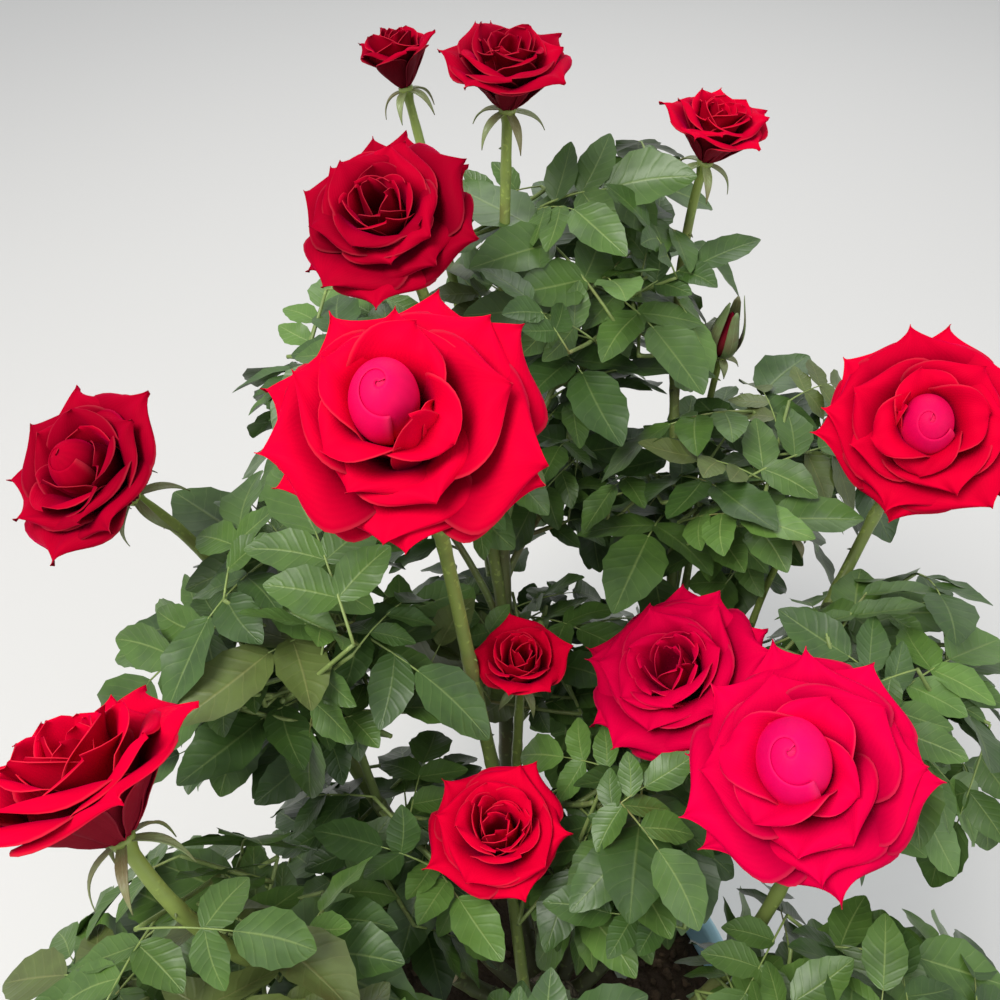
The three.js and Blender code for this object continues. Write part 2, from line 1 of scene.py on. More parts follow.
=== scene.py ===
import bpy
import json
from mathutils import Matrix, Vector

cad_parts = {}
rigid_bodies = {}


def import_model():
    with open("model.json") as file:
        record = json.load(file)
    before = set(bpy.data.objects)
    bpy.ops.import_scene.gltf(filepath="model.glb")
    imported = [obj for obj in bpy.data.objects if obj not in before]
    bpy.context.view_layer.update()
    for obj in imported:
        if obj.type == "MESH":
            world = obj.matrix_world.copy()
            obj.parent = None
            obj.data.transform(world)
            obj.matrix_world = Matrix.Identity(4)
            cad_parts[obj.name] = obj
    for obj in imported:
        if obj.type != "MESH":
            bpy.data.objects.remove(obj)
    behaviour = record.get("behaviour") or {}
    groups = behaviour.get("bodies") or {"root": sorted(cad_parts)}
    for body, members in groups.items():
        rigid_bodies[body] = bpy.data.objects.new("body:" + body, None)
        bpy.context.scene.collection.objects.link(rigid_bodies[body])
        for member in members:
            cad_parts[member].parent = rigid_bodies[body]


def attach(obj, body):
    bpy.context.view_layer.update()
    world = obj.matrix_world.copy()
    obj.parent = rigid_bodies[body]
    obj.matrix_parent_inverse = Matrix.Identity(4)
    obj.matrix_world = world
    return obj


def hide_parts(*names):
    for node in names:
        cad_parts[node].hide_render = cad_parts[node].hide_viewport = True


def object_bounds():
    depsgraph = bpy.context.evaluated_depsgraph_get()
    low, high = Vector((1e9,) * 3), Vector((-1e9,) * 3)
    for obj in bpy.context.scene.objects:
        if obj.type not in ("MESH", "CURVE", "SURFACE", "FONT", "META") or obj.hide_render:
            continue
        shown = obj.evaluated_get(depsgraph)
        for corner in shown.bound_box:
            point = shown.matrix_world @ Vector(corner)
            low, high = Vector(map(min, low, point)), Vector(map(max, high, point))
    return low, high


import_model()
CAD_BOX = [list(corner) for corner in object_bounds()]

import json
import math

import bmesh
import bpy
import numpy as np
from mathutils import Vector

# All sizes below are in millimetres, and a mesh takes them in metres.
MM = 0.001
UP = np.array([0.0, 0.0, 1.0])
GOLDEN_TURN = math.pi * (3 - math.sqrt(5))

# Clearances of the source's growth: between neighbouring solids, round limbs and blooms, at the wall
# between two masses, and over the pot's rim
GAP = 0.3
CLEAR = 2.5
WALL = 1.2
OVER_RIM = 12
# Leaves keep clear of an egg round each bloom, half as high as this share of the bloom's height
EGG_SHARE = 0.62

# Pot, soil and crown, as in the source
POT = dict(height=240, rim=140, foot=100, wall=3.5, floor=5, lip=8, lip_depth=20)
DRAIN = dict(count=4, radius=7, ring=62)
SOIL_TOP = 214
SOIL_DOME = 5
GROUND = SOIL_TOP + SOIL_DOME + GAP
CROWN = dict(foot=24, waist=16, knuckle=21, height=44)

# Canes: name, direction of the foot in degrees, rise, tip, radius at foot and tip
CANES = [
    ("cane_left", 168, 30, (-112, 62, 420), (5.6, 4.2)),
    ("cane_front_left", 222, 28, (-98, -38, 372), (5.2, 4.0)),
    ("cane_middle", 92, 38, (-34, 74, 392), (5.8, 4.4)),
    ("cane_back", 118, 16, (-34, 214, 500), (6.4, 4.4)),
    ("cane_back_right", 58, 26, (92, 196, 452), (6.0, 4.2)),
    ("cane_right", 22, 15, (118, 82, 388), (5.8, 4.2)),
    ("cane_front_right", 322, 30, (82, -42, 330), (5.2, 4.0)),
    ("cane_front", 268, 14, (-14, -74, 322), (5.0, 3.8)),
    ("cane_stub_right", 348, 12, (86, -14, 276), (7.0, 6.2)),
    ("cane_stub_left", 190, 12, (-68, 6, 282), (6.4, 5.6)),
]

# Blooms: number, middle, facing, width, opening, cane, fork, turn of the petals in degrees, pinkness
BLOOMS = [
    (1, (-76, 82, 712), (-0.06, -0.46, 0.88), 124, 1, "cane_middle", 0.78, 4, 0.25),
    (2, (117, 8, 552), (-0.38, -0.3, 0.86), 121, 1, "cane_front_right", 0.8, 20, 0.8),
    (3, (66, 99, 511), (-0.45, -0.12, 0.86), 110, 0.8, "cane_right", 0.62, 75, 0.9),
    (4, (203, 178, 632), (-0.3, -0.62, 0.66), 106, 0.9, "cane_right", 0.8, 50, 0.3),
    (5, (-254, 141, 629), (-0.35, -0.35, 0.87), 102, 0.45, "cane_left", 0.8, 60, 0.0),
    (6, (-208, -34, 620), (-0.36, 0.4, 0.84), 102, 0.4, "cane_front_left", 0.74, 10, 0.1),
    (7, (-98, 238, 730), (-0.2, -0.45, 0.87), 96, 0.75, "cane_back", 0.8, 25, 0.1),
    (8, (-99, 380, 756), (-0.22, 0.1, 0.97), 55, 0.2, "cane_back", 0.88, 160, 0.0),
    (9, (-31, 306, 778), (0.02, -0.12, 0.99), 75, 0.4, "cane_back", 0.94, 30, 0.1),
    (10, (92, 325, 736), (0.14, -0.08, 0.98), 68, 0.35, "cane_back_right", 0.82, 15, 0.1),
    (11, (-22, 112, 497), (0.02, -0.1, 0.99), 64, 0.3, "cane_middle", 0.62, 40, 0.1),
    (12, (-36, 18, 468), (-0.1, -0.12, 0.98), 84, 0.5, "cane_front", 0.7, 70, 0.15),
    (13, (-96, -178, 418), (-0.3, -0.62, 0.72), 92, 0.85, "cane_front", 0.82, 35, 0.3),
    (14, (118, -158, 398), (0.35, -0.5, 0.78), 76, 0.5, "cane_front_right", 0.6, 10, 0.2),
    (15, (-60, 372, 480), (-0.1, 0.6, 0.78), 84, 0.8, "cane_back", 0.62, 55, 0.2),
]
# The blooms whose inner petals are still closed in a ball, with the ball's share of the bloom's
# width, and the side, in degrees from the right, where two small folded petals cover it
BALLED = {1: 0.27, 2: 0.33, 4: 0.29, 5: 0.26}
FOLDED = {1: -28, 4: 175}
# The blooms whose heart lies off the middle, to the right and up in shares of the radius, and those
# whose petals are shorter on one side, with that side in degrees from the right and the share
OFF_MIDDLE = {1: (-0.13, 0.15), 2: (-0.08, 0.07)}
SHORTER = {1: (-90, 0.2), 2: (-45, 0.14)}
# The blooms of a deeper red, from 0 for the brightest to 1
DEPTH = {5: 0.8, 7: 0.8, 8: 0.8, 9: 0.7, 10: 0.3, 4: 0.1, 15: 0.3}
# Buds: name, foot of the bud, the way it points, width, cane, fork
BUDS = [
    ("bud_right", (112, 292, 596), (0.05, -0.05, 1), 19, "cane_back_right", 0.7),
    ("bud_small", (154, 190, 528), (0.2, -0.1, 1), 13, "cane_right", 0.5),
]
# Masses of foliage: name, cane, fork, middle, reach, seed
MASSES = [
    ("foliage_left", "cane_left", 1, (-140, 118, 494), 150, 12),
    ("foliage_front_left", "cane_front_left", 1, (-158, -60, 430), 148, 28),
    ("foliage_middle", "cane_middle", 1, (20, 44, 404), 146, 31),
    ("foliage_back_left", "cane_back", 0.78, (-98, 262, 530), 146, 48),
    ("foliage_back_right", "cane_back_right", 1, (98, 232, 496), 152, 71),
    ("foliage_top", "cane_back", 1, (22, 322, 606), 138, 67),
    ("foliage_right", "cane_right", 1, (168, 104, 436), 150, 83),
    ("foliage_front_right", "cane_front_right", 1, (132, -60, 364), 146, 101),
    ("foliage_front", "cane_front", 1, (4, -108, 364), 142, 114),
    ("foliage_back_low", "cane_back", 0.45, (-4, 190, 412), 140, 129),
    ("foliage_inner_left", "cane_stub_left", 0.8, (-92, 30, 404), 120, 141),
    ("foliage_inner_back", "cane_back", 0.9, (12, 276, 470), 116, 151),
]
# The corners of the part's own box, with the little more that the tips of finer leaves may take
TIP_ROOM = 10
LOW_CORNER, HIGH_CORNER = np.array(CAD_BOX) * 1000 + np.array([[-TIP_ROOM], [TIP_ROOM]])
# The source's growth, and how it is carried on to finer twigs within the same reach
GROWTH = dict(twigs=4, twig_length=56, tries=600, most=6, crowd=25)
FINER = dict(twigs=90, twig_length=95, tries=36000, most=130, crowd=28, largest=1.02, smallest=0.7, fewest=4)
SMALL = dict(tries=30000, most=16, crowd=34, largest=0.74, smallest=0.5, fewest=3)
CELL = 4
# Finer leaves also leave each bloom to the sun: a room over it, to a height, that starts at a share
# of the bloom's radius and widens. Their reach swells and shrinks in slow bays about a mean share.
SUN = dict(height=110, start=0.9, spread=0.42)
BAYS = dict(waves=3.1, mean=0.93, swing=0.1)
LEAF = dict(stalk=84, arch=0.06, sag=0.14, pairs=(0.38, 0.76), finer_pairs=(0.36, 0.7), turn=1.12, fewest=4)
LEAFLET = dict(length=60, slim=0.64)
LEAF_ROWS = 14
LEAF_COLUMNS = 4
# Radii of a mass's stem at its foot and tip, of a twig's tip, and of a leaf's stalk at both ends
STEM_RADII = (3, 1.6)
TWIG_TIP = 1.1
STALK_RADII = (1.15, 0.6)
# Flower stems and sepals, as in the source, and the length of the swelling under a bloom
FLOWER = dict(slim=2, by_width=0.014, hip=1.2, taper=0.9, hip_from=0.96)
SEPALS = dict(count=5, long=12, by_width=0.2, under=2.4)
HIP_LENGTH = 11
# How far apart thorns stand and how long they are
CANE_THORNS = dict(spacing=26, size=4.6)
FLOWER_THORNS = dict(spacing=48, size=3.2)
# A bloom from this opening on lies open, and from the second on it is half open
OPEN = 0.75
HALF_OPEN = 0.35
# How high the ball sits over the foot of an open and of a half-open bloom, in shares of the radius
BALL_SITS = dict(open=0.62, half=0.80)
# How thick petals, sepals and the sepals of buds are
PETAL_THICK = 0.45
SEPAL_THICK = 0.5
BUD_SEPAL_THICK = 0.4
# The crumbs on the soil, and the room between the soil and the pot's wall
CRUMBS = dict(count=520, smallest=1.1, largest=3.4)
SOIL_PLAY = 0.6


# Points, runs and lines

def unit(v):
    """The vector or vectors with length one."""
    v = np.asarray(v, float)
    return v / np.linalg.norm(v, axis=-1, keepdims=True)


def random_from(seed):
    """The source's run of numbers from 0 to 1, the same each time for the same seed."""
    state = [seed * 7919 + 17]

    def draw():
        state[0] = (state[0] * 48271) % 2147483647
        return state[0] / 2147483647

    draw()
    draw()
    return draw


class Run:
    """A Bezier curve through three or four control points. Its points are the controls weighed by the
    Bernstein polynomials, and a share of its length is found from 200 straight steps."""

    STEPS = 200

    def __init__(self, *controls):
        self.controls = np.array(controls, float)
        self.shares = np.linspace(0, 1, self.STEPS + 1)
        steps = np.linalg.norm(np.diff(self.point(self.shares), axis=0), axis=1)
        self.lengths = np.concatenate([[0], np.cumsum(steps)])

    def weights(self, t, degree):
        t = np.atleast_1d(np.asarray(t, float))[:, None]
        k = np.arange(degree + 1)
        counts = np.array([math.comb(degree, i) for i in k])
        return counts * t**k * (1 - t) ** (degree - k)

    def point(self, t):
        made = self.weights(t, len(self.controls) - 1) @ self.controls
        return made if np.ndim(t) else made[0]

    def way(self, t):
        made = unit(self.weights(t, len(self.controls) - 2) @ np.diff(self.controls, axis=0))
        return made if np.ndim(t) else made[0]

    def share(self, u):
        return np.interp(np.asarray(u, float) * self.lengths[-1], self.lengths, self.shares)

    def point_at(self, u):
        return self.point(self.share(u))

    def way_at(self, u):
        return self.way(self.share(u))


def route(start, start_way, end, end_way, slack):
    """The source's curve that leaves one point in one direction and reaches another in its own."""
    start, end = np.array(start, float), np.array(end, float)
    reach = np.linalg.norm(end - start) * slack
    return Run(start, start + unit(start_way) * reach, end - unit(end_way) * reach, end)


def note(lines, run, radius_at):
    """Points every 5 mm along a run with their radii, which leaves keep clear of."""
    count = math.ceil(run.lengths[-1] / 5)
    shares = np.arange(count + 1) / count
    line = (run.point_at(shares), radius_at(shares))
    lines.append(line)
    return line


def level_axes(face):
    """Two directions across an axis: the second is level, and the first is as steep as it can be."""
    level = np.cross(UP, face)
    level = np.array([1.0, 0, 0]) if np.linalg.norm(level) < 0.05 else unit(level)
    return unit(np.cross(face, level)), level


# Meshes

def new_object(name, data):
    """A new object in the scene."""
    made = bpy.data.objects.new(name, data)
    bpy.context.scene.collection.objects.link(made)
    return made


def thicken(made, thickness, offset=-1, material_step=0):
    """Turns sheets into shells: to the back with offset -1 and both ways with 0. The new side takes
    the material that many further on."""
    shell = made.modifiers.new("thickness", "SOLIDIFY")
    shell.thickness = thickness * MM
    shell.offset = offset
    shell.material_offset = material_step


class Pile:
    """Grids of points gathered into one mesh. Each grid brings a place on its own surface (u, v), one
    number to shade by, and the number of its material."""

    def __init__(self):
        self.points, self.faces, self.places, self.tones, self.kinds = [], [], [], [], []
        self.count = 0

    def add(self, grid, wrap=False, tone=0.0, kind=0, places=None, flip=False):
        """Adds sheets, an array (sheets, rows, columns, 3). A quad joins each four neighbours, and
        wrap also joins the last column to the first."""
        grid = np.asarray(grid, float)
        grid = grid if grid.ndim == 4 else grid[None]
        sheets, rows, columns = grid.shape[:3]
        ids = self.count + np.arange(sheets * rows * columns).reshape(sheets, rows, columns)
        across = np.concatenate([ids, ids[:, :, :1]], axis=2) if wrap else ids
        corners = (across[:, :-1, :-1], across[:, :-1, 1:], across[:, 1:, 1:], across[:, 1:, :-1])
        quads = np.stack(corners, -1).reshape(-1, 4)
        if places is None:
            v, u = np.meshgrid(np.linspace(0, 1, rows), np.linspace(0, 1, columns), indexing="ij")
            places = np.stack([u, v], -1)
        places = np.broadcast_to(places, (sheets, rows, columns, 2))
        tone = np.asarray(tone, float)
        tone = tone.reshape(tone.shape + (1,) * (3 - tone.ndim))
        kinds = np.broadcast_to(np.asarray(kind, int).reshape(-1, 1), (sheets, len(quads) // sheets))
        self.points.append(grid.reshape(-1, 3))
        self.faces.append(quads[:, ::-1] if flip else quads)
        self.places.append(places.reshape(-1, 2))
        self.tones.append(np.broadcast_to(tone, (sheets, rows, columns)).reshape(-1))
        self.kinds.append(kinds.reshape(-1))
        self.count += sheets * rows * columns

    def piece(self, name, materials, slot, nodes=(), smooth=True):
        """Makes the mesh and its object, with points closer than a hundredth of a millimetre joined
        and faces without area dropped."""
        points = np.concatenate(self.points) * MM
        faces = np.concatenate(self.faces).astype(np.int32)
        mesh = bpy.data.meshes.new(name)
        mesh.vertices.add(len(points))
        mesh.vertices.foreach_set("co", points.astype(np.float32).ravel())
        mesh.loops.add(faces.size)
        mesh.loops.foreach_set("vertex_index", faces.ravel())
        mesh.polygons.add(len(faces))
        mesh.polygons.foreach_set("loop_start", np.arange(0, faces.size, 4, dtype=np.int32))
        mesh.polygons.foreach_set("material_index", np.concatenate(self.kinds).astype(np.int32))
        mesh.update(calc_edges=True)
        places = np.concatenate(self.places)[faces.ravel()]
        mesh.uv_layers.new(name="surface").data.foreach_set("uv", places.astype(np.float32).ravel())
        tone = mesh.attributes.new("tone", "FLOAT", "POINT")
        tone.data.foreach_set("value", np.concatenate(self.tones).astype(np.float32))
        join_doubles(mesh)
        mesh.polygons.foreach_set("use_smooth", np.full(len(mesh.polygons), smooth))
        for material in materials:
            mesh.materials.append(material)
        made = new_object(name, mesh)
        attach(made, "root")
        if nodes:
            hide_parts(*nodes)
        return made


def join_doubles(mesh):
    """Joins points that share a place, so that seams and poles are closed."""
    work = bmesh.new()
    work.from_mesh(mesh)
    bmesh.ops.remove_doubles(work, verts=work.verts, dist=1e-5)
    work.to_mesh(mesh)
    work.free()


def circle(count):
    """Evenly spaced turns of a full circle."""
    return 2 * np.pi * np.arange(count) / count


def about_axis(radius, turn, height):
    """Points at a radius, a turn and a height about the upright axis."""
    return np.stack(np.broadcast_arrays(radius * np.cos(turn), radius * np.sin(turn), height), -1)


def frames_along(points):
    """Two directions across each point of many lines, from one fixed direction that the line never
    follows, so that the frames don't twist."""
    ways = unit(np.gradient(points, axis=1))
    mean = np.abs(unit(points[:, -1] - points[:, 0]))
    fixed = np.eye(3)[np.argmin(mean, axis=1)]
    first = unit(np.cross(ways, fixed[:, None]))
    return first, np.cross(ways, first)


def tubes(points, rings, sides):
    """Closed tubes from points (tubes, steps, 3): a ring round each point of a line, with one radius
    or one for each side. The ends shrink to a point."""
    first, second = frames_along(points)
    turns = circle(sides)[:, None]
    around = np.cos(turns) * first[:, :, None] + np.sin(turns) * second[:, :, None]
    grid = points[:, :, None] + rings[..., None] * around
    start = np.repeat(points[:, :1, None], sides, axis=2)
    end = np.repeat(points[:, -1:, None], sides, axis=2)
    return np.concatenate([start, grid, end], axis=1)


def tube(points, radii, sides, relief=None):
    """One tube. Its radius is multiplied by one plus a relief that depends on the share of the length
    and the turn."""
    rings = np.ones((len(points), sides)) * radii[:, None]
    if relief is not None:
        rings = rings * (1 + relief(np.linspace(0, 1, len(points))[:, None], circle(sides)))
    return tubes(points[None], rings[None], sides)[0]


def lathe(profile, sides):
    """A profile of (radius, height) turned round the upright axis."""
    return about_axis(profile[:, :1], circle(sides), profile[:, 1:])


def rounded(profile, times):
    """A profile whose corners are cut off a quarter along each side, again and again, which rounds
    them."""
    points = np.asarray(profile, float)
    for _ in range(times):
        a = points[:-1] * 0.75 + points[1:] * 0.25
        b = points[:-1] * 0.25 + points[1:] * 0.75
        middle = np.stack([a, b], 1).reshape(-1, 2)
        points = np.concatenate([points[:1], middle, points[-1:]])
    return points


# Shader maths

class Value:
    """A number socket of a material; sums and products of it add Math nodes."""

    def __init__(self, look, socket):
        self.look, self.socket = look, socket

    def math(self, operation, *others):
        """What a Math node makes of this number and others."""
        return self.look.node("ShaderNodeMath", {"operation": operation}, dict(enumerate([self, *others])))

    def __add__(self, other):
        return self.math("ADD", other)

    __radd__ = __add__

    def __mul__(self, other):
        return self.math("MULTIPLY", other)

    __rmul__ = __mul__

    def __sub__(self, other):
        return self.math("SUBTRACT", other)

    def __rsub__(self, other):
        return self.math("MULTIPLY", -1.0) + other

    def size(self):
        return self.math("ABSOLUTE")

    def sine(self):
        return self.math("SINE")

    def step(self, low, high):
        """0 below low, 1 above high, and a smooth rise between."""
        settings = {"interpolation_type": "SMOOTHSTEP"}
        return self.look.node("ShaderNodeMapRange", settings, {0: self, 1: low, 2: high})


class Look:
    """A material whose nodes are added by one method."""

    def __init__(self, name, roughness=0.5, **constants):
        self.material = bpy.data.materials.new(name)
        self.material.use_nodes = True
        self.tree = self.material.node_tree
        self.shader = self.tree.nodes["Principled BSDF"]
        self.set(Roughness=roughness, **constants)

    def set(self, **values):
        """Sets sockets of the material's shader, an underscore standing for a space in their names."""
        for key, value in values.items():
            socket = self.shader.inputs[key.replace("_", " ")]
            if isinstance(value, Value):
                self.tree.links.new(value.socket, socket)
            else:
                socket.default_value = value

    def node(self, kind, settings=None, sockets=None, output=0):
        """Adds a node, with its settings and what its sockets take, and gives one of its outputs."""
        made = self.tree.nodes.new(kind)
        for key, value in (settings or {}).items():
            setattr(made, key, value)
        for key, value in (sockets or {}).items():
            socket = made.inputs[key]
            value = value.socket if isinstance(value, Value) else value
            if isinstance(value, bpy.types.NodeSocket):
                self.tree.links.new(value, socket)
            else:
                socket.default_value = value
        return Value(self, made.outputs[output])

    def place(self):
        """Object coordinates."""
        return self.node("ShaderNodeTexCoord", output="Object")

    def numbers(self, vector):
        """The three numbers of a vector."""
        split = self.node("ShaderNodeSeparateXYZ", None, {0: vector}).socket.node
        return [Value(self, output) for output in split.outputs]

    def surface(self):
        """The place on the piece's own surface, as its two numbers."""
        return self.numbers(self.node("ShaderNodeUVMap", {"uv_map": "surface"}))[:2]

    def tone(self):
        """The number that a piece is shaded by."""
        return self.node("ShaderNodeAttribute", {"attribute_name": "tone"}, output="Fac")

    def noise(self, scale, detail=3.0, rough=0.5, where=None):
        sockets = {"Vector": where or self.place(), "Scale": scale, "Detail": detail, "Roughness": rough}
        return self.node("ShaderNodeTexNoise", None, sockets)

    def mix(self, share, a, b, blend="MIX"):
        """One colour turned into another, or with MULTIPLY darkened by it, by a share from 0 to 1."""
        whole = [(*c, 1) if isinstance(c, tuple) else c for c in (a, b)]
        settings = {"data_type": "RGBA", "blend_type": blend}
        return self.node("ShaderNodeMix", settings, {0: share, 6: whole[0], 7: whole[1]}, output=2)

    def bump(self, height, strength, distance):
        sockets = {"Height": height, "Strength": strength, "Distance": distance * MM}
        self.set(Normal=self.node("ShaderNodeBump", None, sockets))


# How much darker, in red, green and blue, the deepest petals are than the brightest
DEEPER = (0.38, 0.4, 0.45)


def petal_look(name, bright, throat, sheen, shine=0.01):
    """Velvet petals: the throat colour at the claw turning to the bright one over the blade, where a darker
    throat is partly the claw's own deeper red and partly painted shade where the petals overlap; fine
    lengthwise veins, cloudy patches, a thin paler edge that is a painted highlight of light through the rim,
    and a depth of colour that changes from petal to petal by its tone."""
    look = Look(name, roughness=0.6, Sheen_Weight=sheen, Sheen_Roughness=0.4)
    look.set(Sheen_Tint=(1.0, 0.0, 0.12, 1), Specular_IOR_Level=shine)
    u, v = look.surface()
    cloud = look.noise(38, 3, 0.55)
    vein = (u * 150.0 + cloud * 5.0).sine() * 0.5 + 0.5
    # From the throat colour at the claw to the bright one over the blade: where the throat is darker it is
    # partly the claw's own deeper red and partly painted shade where the petals overlap
    blade = look.mix(v.step(0.2, 0.85), throat, bright)
    depth = look.tone() + cloud.step(0.42, 0.7) * 0.14 + vein * 0.05
    veined = look.mix(depth, blade, DEEPER, "MULTIPLY")
    side = (u - 0.5).size() * 2.0
    # A thin band along each margin, painted paler: a painted highlight of light shining through the rim
    edge = side.step(0.94, 1.0)
    look.set(Base_Color=look.mix(edge * 0.12, veined, tuple(min(1, c + 0.12) for c in bright)))
    look.set(Roughness=cloud * 0.16 + 0.5)
    look.bump(vein * 0.4 + look.noise(210, 2, 0.6), 0.16, 0.5)
    return look.material


def leaf_look(name, blade, vein_colour, shade):
    """Satin leaf: a pale midrib, paired side veins that run forward to the teeth, a quilted surface
    between them and a darker cloud."""
    look = Look(name, roughness=0.45, Specular_IOR_Level=0.42, Coat_Weight=0.08, Coat_Roughness=0.35)
    u, v = look.surface()
    side = (u - 0.5).size() * 2.0
    cloud = look.noise(55, 3, 0.6)
    rib = 1.0 - side.step(0.0, 0.07)
    wave = ((v - side * 0.22) * 7.0 * math.pi + (cloud - 0.5) * 1.6).sine().size()
    veins = (1.0 - wave.step(0.0, 0.16)) * (1.0 - side.step(0.8, 1.0))
    base = look.mix(cloud.step(0.35, 0.72) * 0.6, blade, shade)
    lined = look.mix((veins * 0.22 + rib * 0.55).math("MINIMUM", 1.0), base, vein_colour)
    toned = look.mix(look.tone() * 0.5, lined, shade)
    look.set(Base_Color=toned, Roughness=cloud * 0.2 + 0.34)
    look.bump(wave.step(0.0, 0.75) * 0.6 - rib * 0.8 + look.noise(420, 2) * 0.2, 0.32, 0.6)
    return look.material


def stem_look(name, young, old, blush):
    """Smooth bark: mottled, darker where it is older, with a reddish blush and lenticels."""
    look = Look(name, roughness=0.42, Specular_IOR_Level=0.4)
    mottle = look.noise(70, 4)
    patch = look.noise(17, 3, 0.6)
    aged = look.mix(look.tone() + (patch - 0.5) * 0.7, young, old)
    dots = look.noise(260, 1, 0.4).step(0.62, 0.7)
    coloured = look.mix(patch.step(0.52, 0.75) * 0.55, aged, blush)
    spotted = look.mix(dots * 0.3, coloured, tuple(min(1, c * 1.9) for c in young))
    look.set(Base_Color=look.mix(mottle.step(0.45, 0.8) * 0.35, spotted, old))
    look.set(Roughness=mottle * 0.3 + 0.32)
    look.bump(mottle * 0.6 + dots * 0.5, 0.35, 0.6)
    return look.material


def bark_look():
    """Old wood: grey-brown plates between cracks."""
    look = Look("old_bark", roughness=0.85)
    cells = {"Vector": look.place(), "Scale": 150.0}
    plates = look.node("ShaderNodeTexVoronoi", {"feature": "DISTANCE_TO_EDGE"}, cells)
    grain = look.noise(120, 5, 0.65)
    cracks = 1.0 - plates.step(0.0, 0.18)
    base = look.mix(grain, (0.10, 0.075, 0.045), (0.30, 0.25, 0.17))
    look.set(Base_Color=look.mix(cracks * 0.7, base, (0.035, 0.025, 0.018)), Roughness=grain * 0.2 + 0.75)
    look.bump(grain * 0.6 - cracks * 0.9, 0.7, 1.6)
    return look.material


def pith_look():
    """The pale dry face of a pruning cut, with rings round its pith."""
    look = Look("cut_wood", roughness=0.8)
    rings = (look.surface()[1] * 42.0).sine() * 0.5 + 0.5
    grain = look.noise(300, 3)
    look.set(Base_Color=look.mix(rings * 0.5 + grain * 0.4, (0.50, 0.42, 0.27), (0.30, 0.22, 0.12)))
    look.bump(rings * 0.4 + grain, 0.3, 0.4)
    return look.material


def pot_look():
    """Moulded resin, pale blue: a fine orange peel, faint flow lines, scuffs and dust low down."""
    look = Look("pot_resin", roughness=0.42, Specular_IOR_Level=0.45, Coat_Weight=0.12, Coat_Roughness=0.3)
    place = look.place()
    cloud = look.noise(7, 4, 0.6)
    peel = look.noise(900, 2, 0.5)
    squashed = look.node("ShaderNodeMapping", None, {"Vector": place, "Scale": (6, 6, 160)})
    flow = look.noise(3, 3, 0.6, squashed)
    scuff = look.noise(60, 6, 0.75).step(0.6, 0.72)
    low = 1.0 - look.numbers(place)[2].step(0.0, 0.09)
    base = look.mix(cloud.step(0.3, 0.75), (0.29, 0.50, 0.60), (0.37, 0.58, 0.67))
    worn = look.mix(scuff * 0.22, base, (0.62, 0.74, 0.78))
    dusty = look.mix(low * cloud.step(0.35, 0.65) * 0.5, worn, (0.24, 0.21, 0.17))
    look.set(Base_Color=dusty, Roughness=flow * 0.12 + scuff * 0.2 + 0.34)
    look.bump(peel * 0.5 + flow * 0.6 - scuff * 0.4, 0.14, 0.5)
    return look.material


def soil_look():
    """Moist potting mix: dark crumbs with paler fibres and grit."""
    look = Look("potting_mix", roughness=0.92, Specular_IOR_Level=0.25)
    crumbs = look.node("ShaderNodeTexVoronoi", None, {"Vector": look.place(), "Scale": 260.0})
    fine = look.noise(520, 5, 0.7)
    patch = look.noise(26, 3)
    base = look.mix(fine, (0.018, 0.012, 0.008), (0.085, 0.055, 0.035))
    fibre = look.mix(patch.step(0.5, 0.75) * 0.5 + look.tone() * 0.5, base, (0.17, 0.11, 0.065))
    look.set(Base_Color=fibre)
    look.bump(crumbs + fine * 0.8, 0.9, 2.4)
    return look.material


# The frame that the growth keeps clear of: canes, flower stems, sepals, buds and blooms

def tapered(foot, top):
    """The radius along a cane, by the share of its length."""
    return lambda share: foot + (top - foot) * np.asarray(share, float)


lines = []
canes = {}
for name, turn, rise, tip, (foot, top) in CANES:
    angle = math.radians(turn)
    out = np.array([math.cos(angle), math.sin(angle), 0])
    start = np.array([0, 0, GROUND + rise]) + out * CROWN["waist"] * 0.4
    lean = unit(np.array(tip) - start)
    run = route(start, out + UP * 0.9, tip, lean + UP * 0.5, 0.34)
    radius_at = tapered(foot, top)
    canes[name] = dict(run=run, radius_at=radius_at, line=note(lines, run, radius_at))


def flower_stem(cane, fork, width, opening, end, face):
    """The source's flower stem, from its cane to square under the bloom, with its sepals' places."""
    parent = canes[cane]["run"]
    start, along = parent.point_at(fork), parent.way_at(fork)
    lean = unit(end - start)
    run = route(start, along + lean * 1.2, end, face, 0.36)
    slim = FLOWER["slim"] + width * FLOWER["by_width"]
    hip = slim + FLOWER["hip"] + width * FLOWER["by_width"]

    def radius_at(share):
        return np.where(share > FLOWER["hip_from"], hip, slim + (1 - share) * FLOWER["taper"])

    line = note(lines, run, radius_at)
    front, side = level_axes(face)
    sepals = []
    long = SEPALS["long"] + width * SEPALS["by_width"]
    for i in range(SEPALS["count"]):
        turn = 2 * math.pi * i / SEPALS["count"] + opening
        out = front * math.cos(turn) + side * math.sin(turn)
        way = unit(out - face * (0.45 + 0.35 * opening))
        root = end - face * SEPALS["under"] + out * hip * 0.35
        lines.append((root + way * long * np.array([0.3, 0.55, 0.8, 1])[:, None], np.full(4, 3.0)))
        sepals.append((root, way, long))
    return dict(run=run, slim=slim, hip=hip, line=line, sepals=sepals, face=face, end=end)


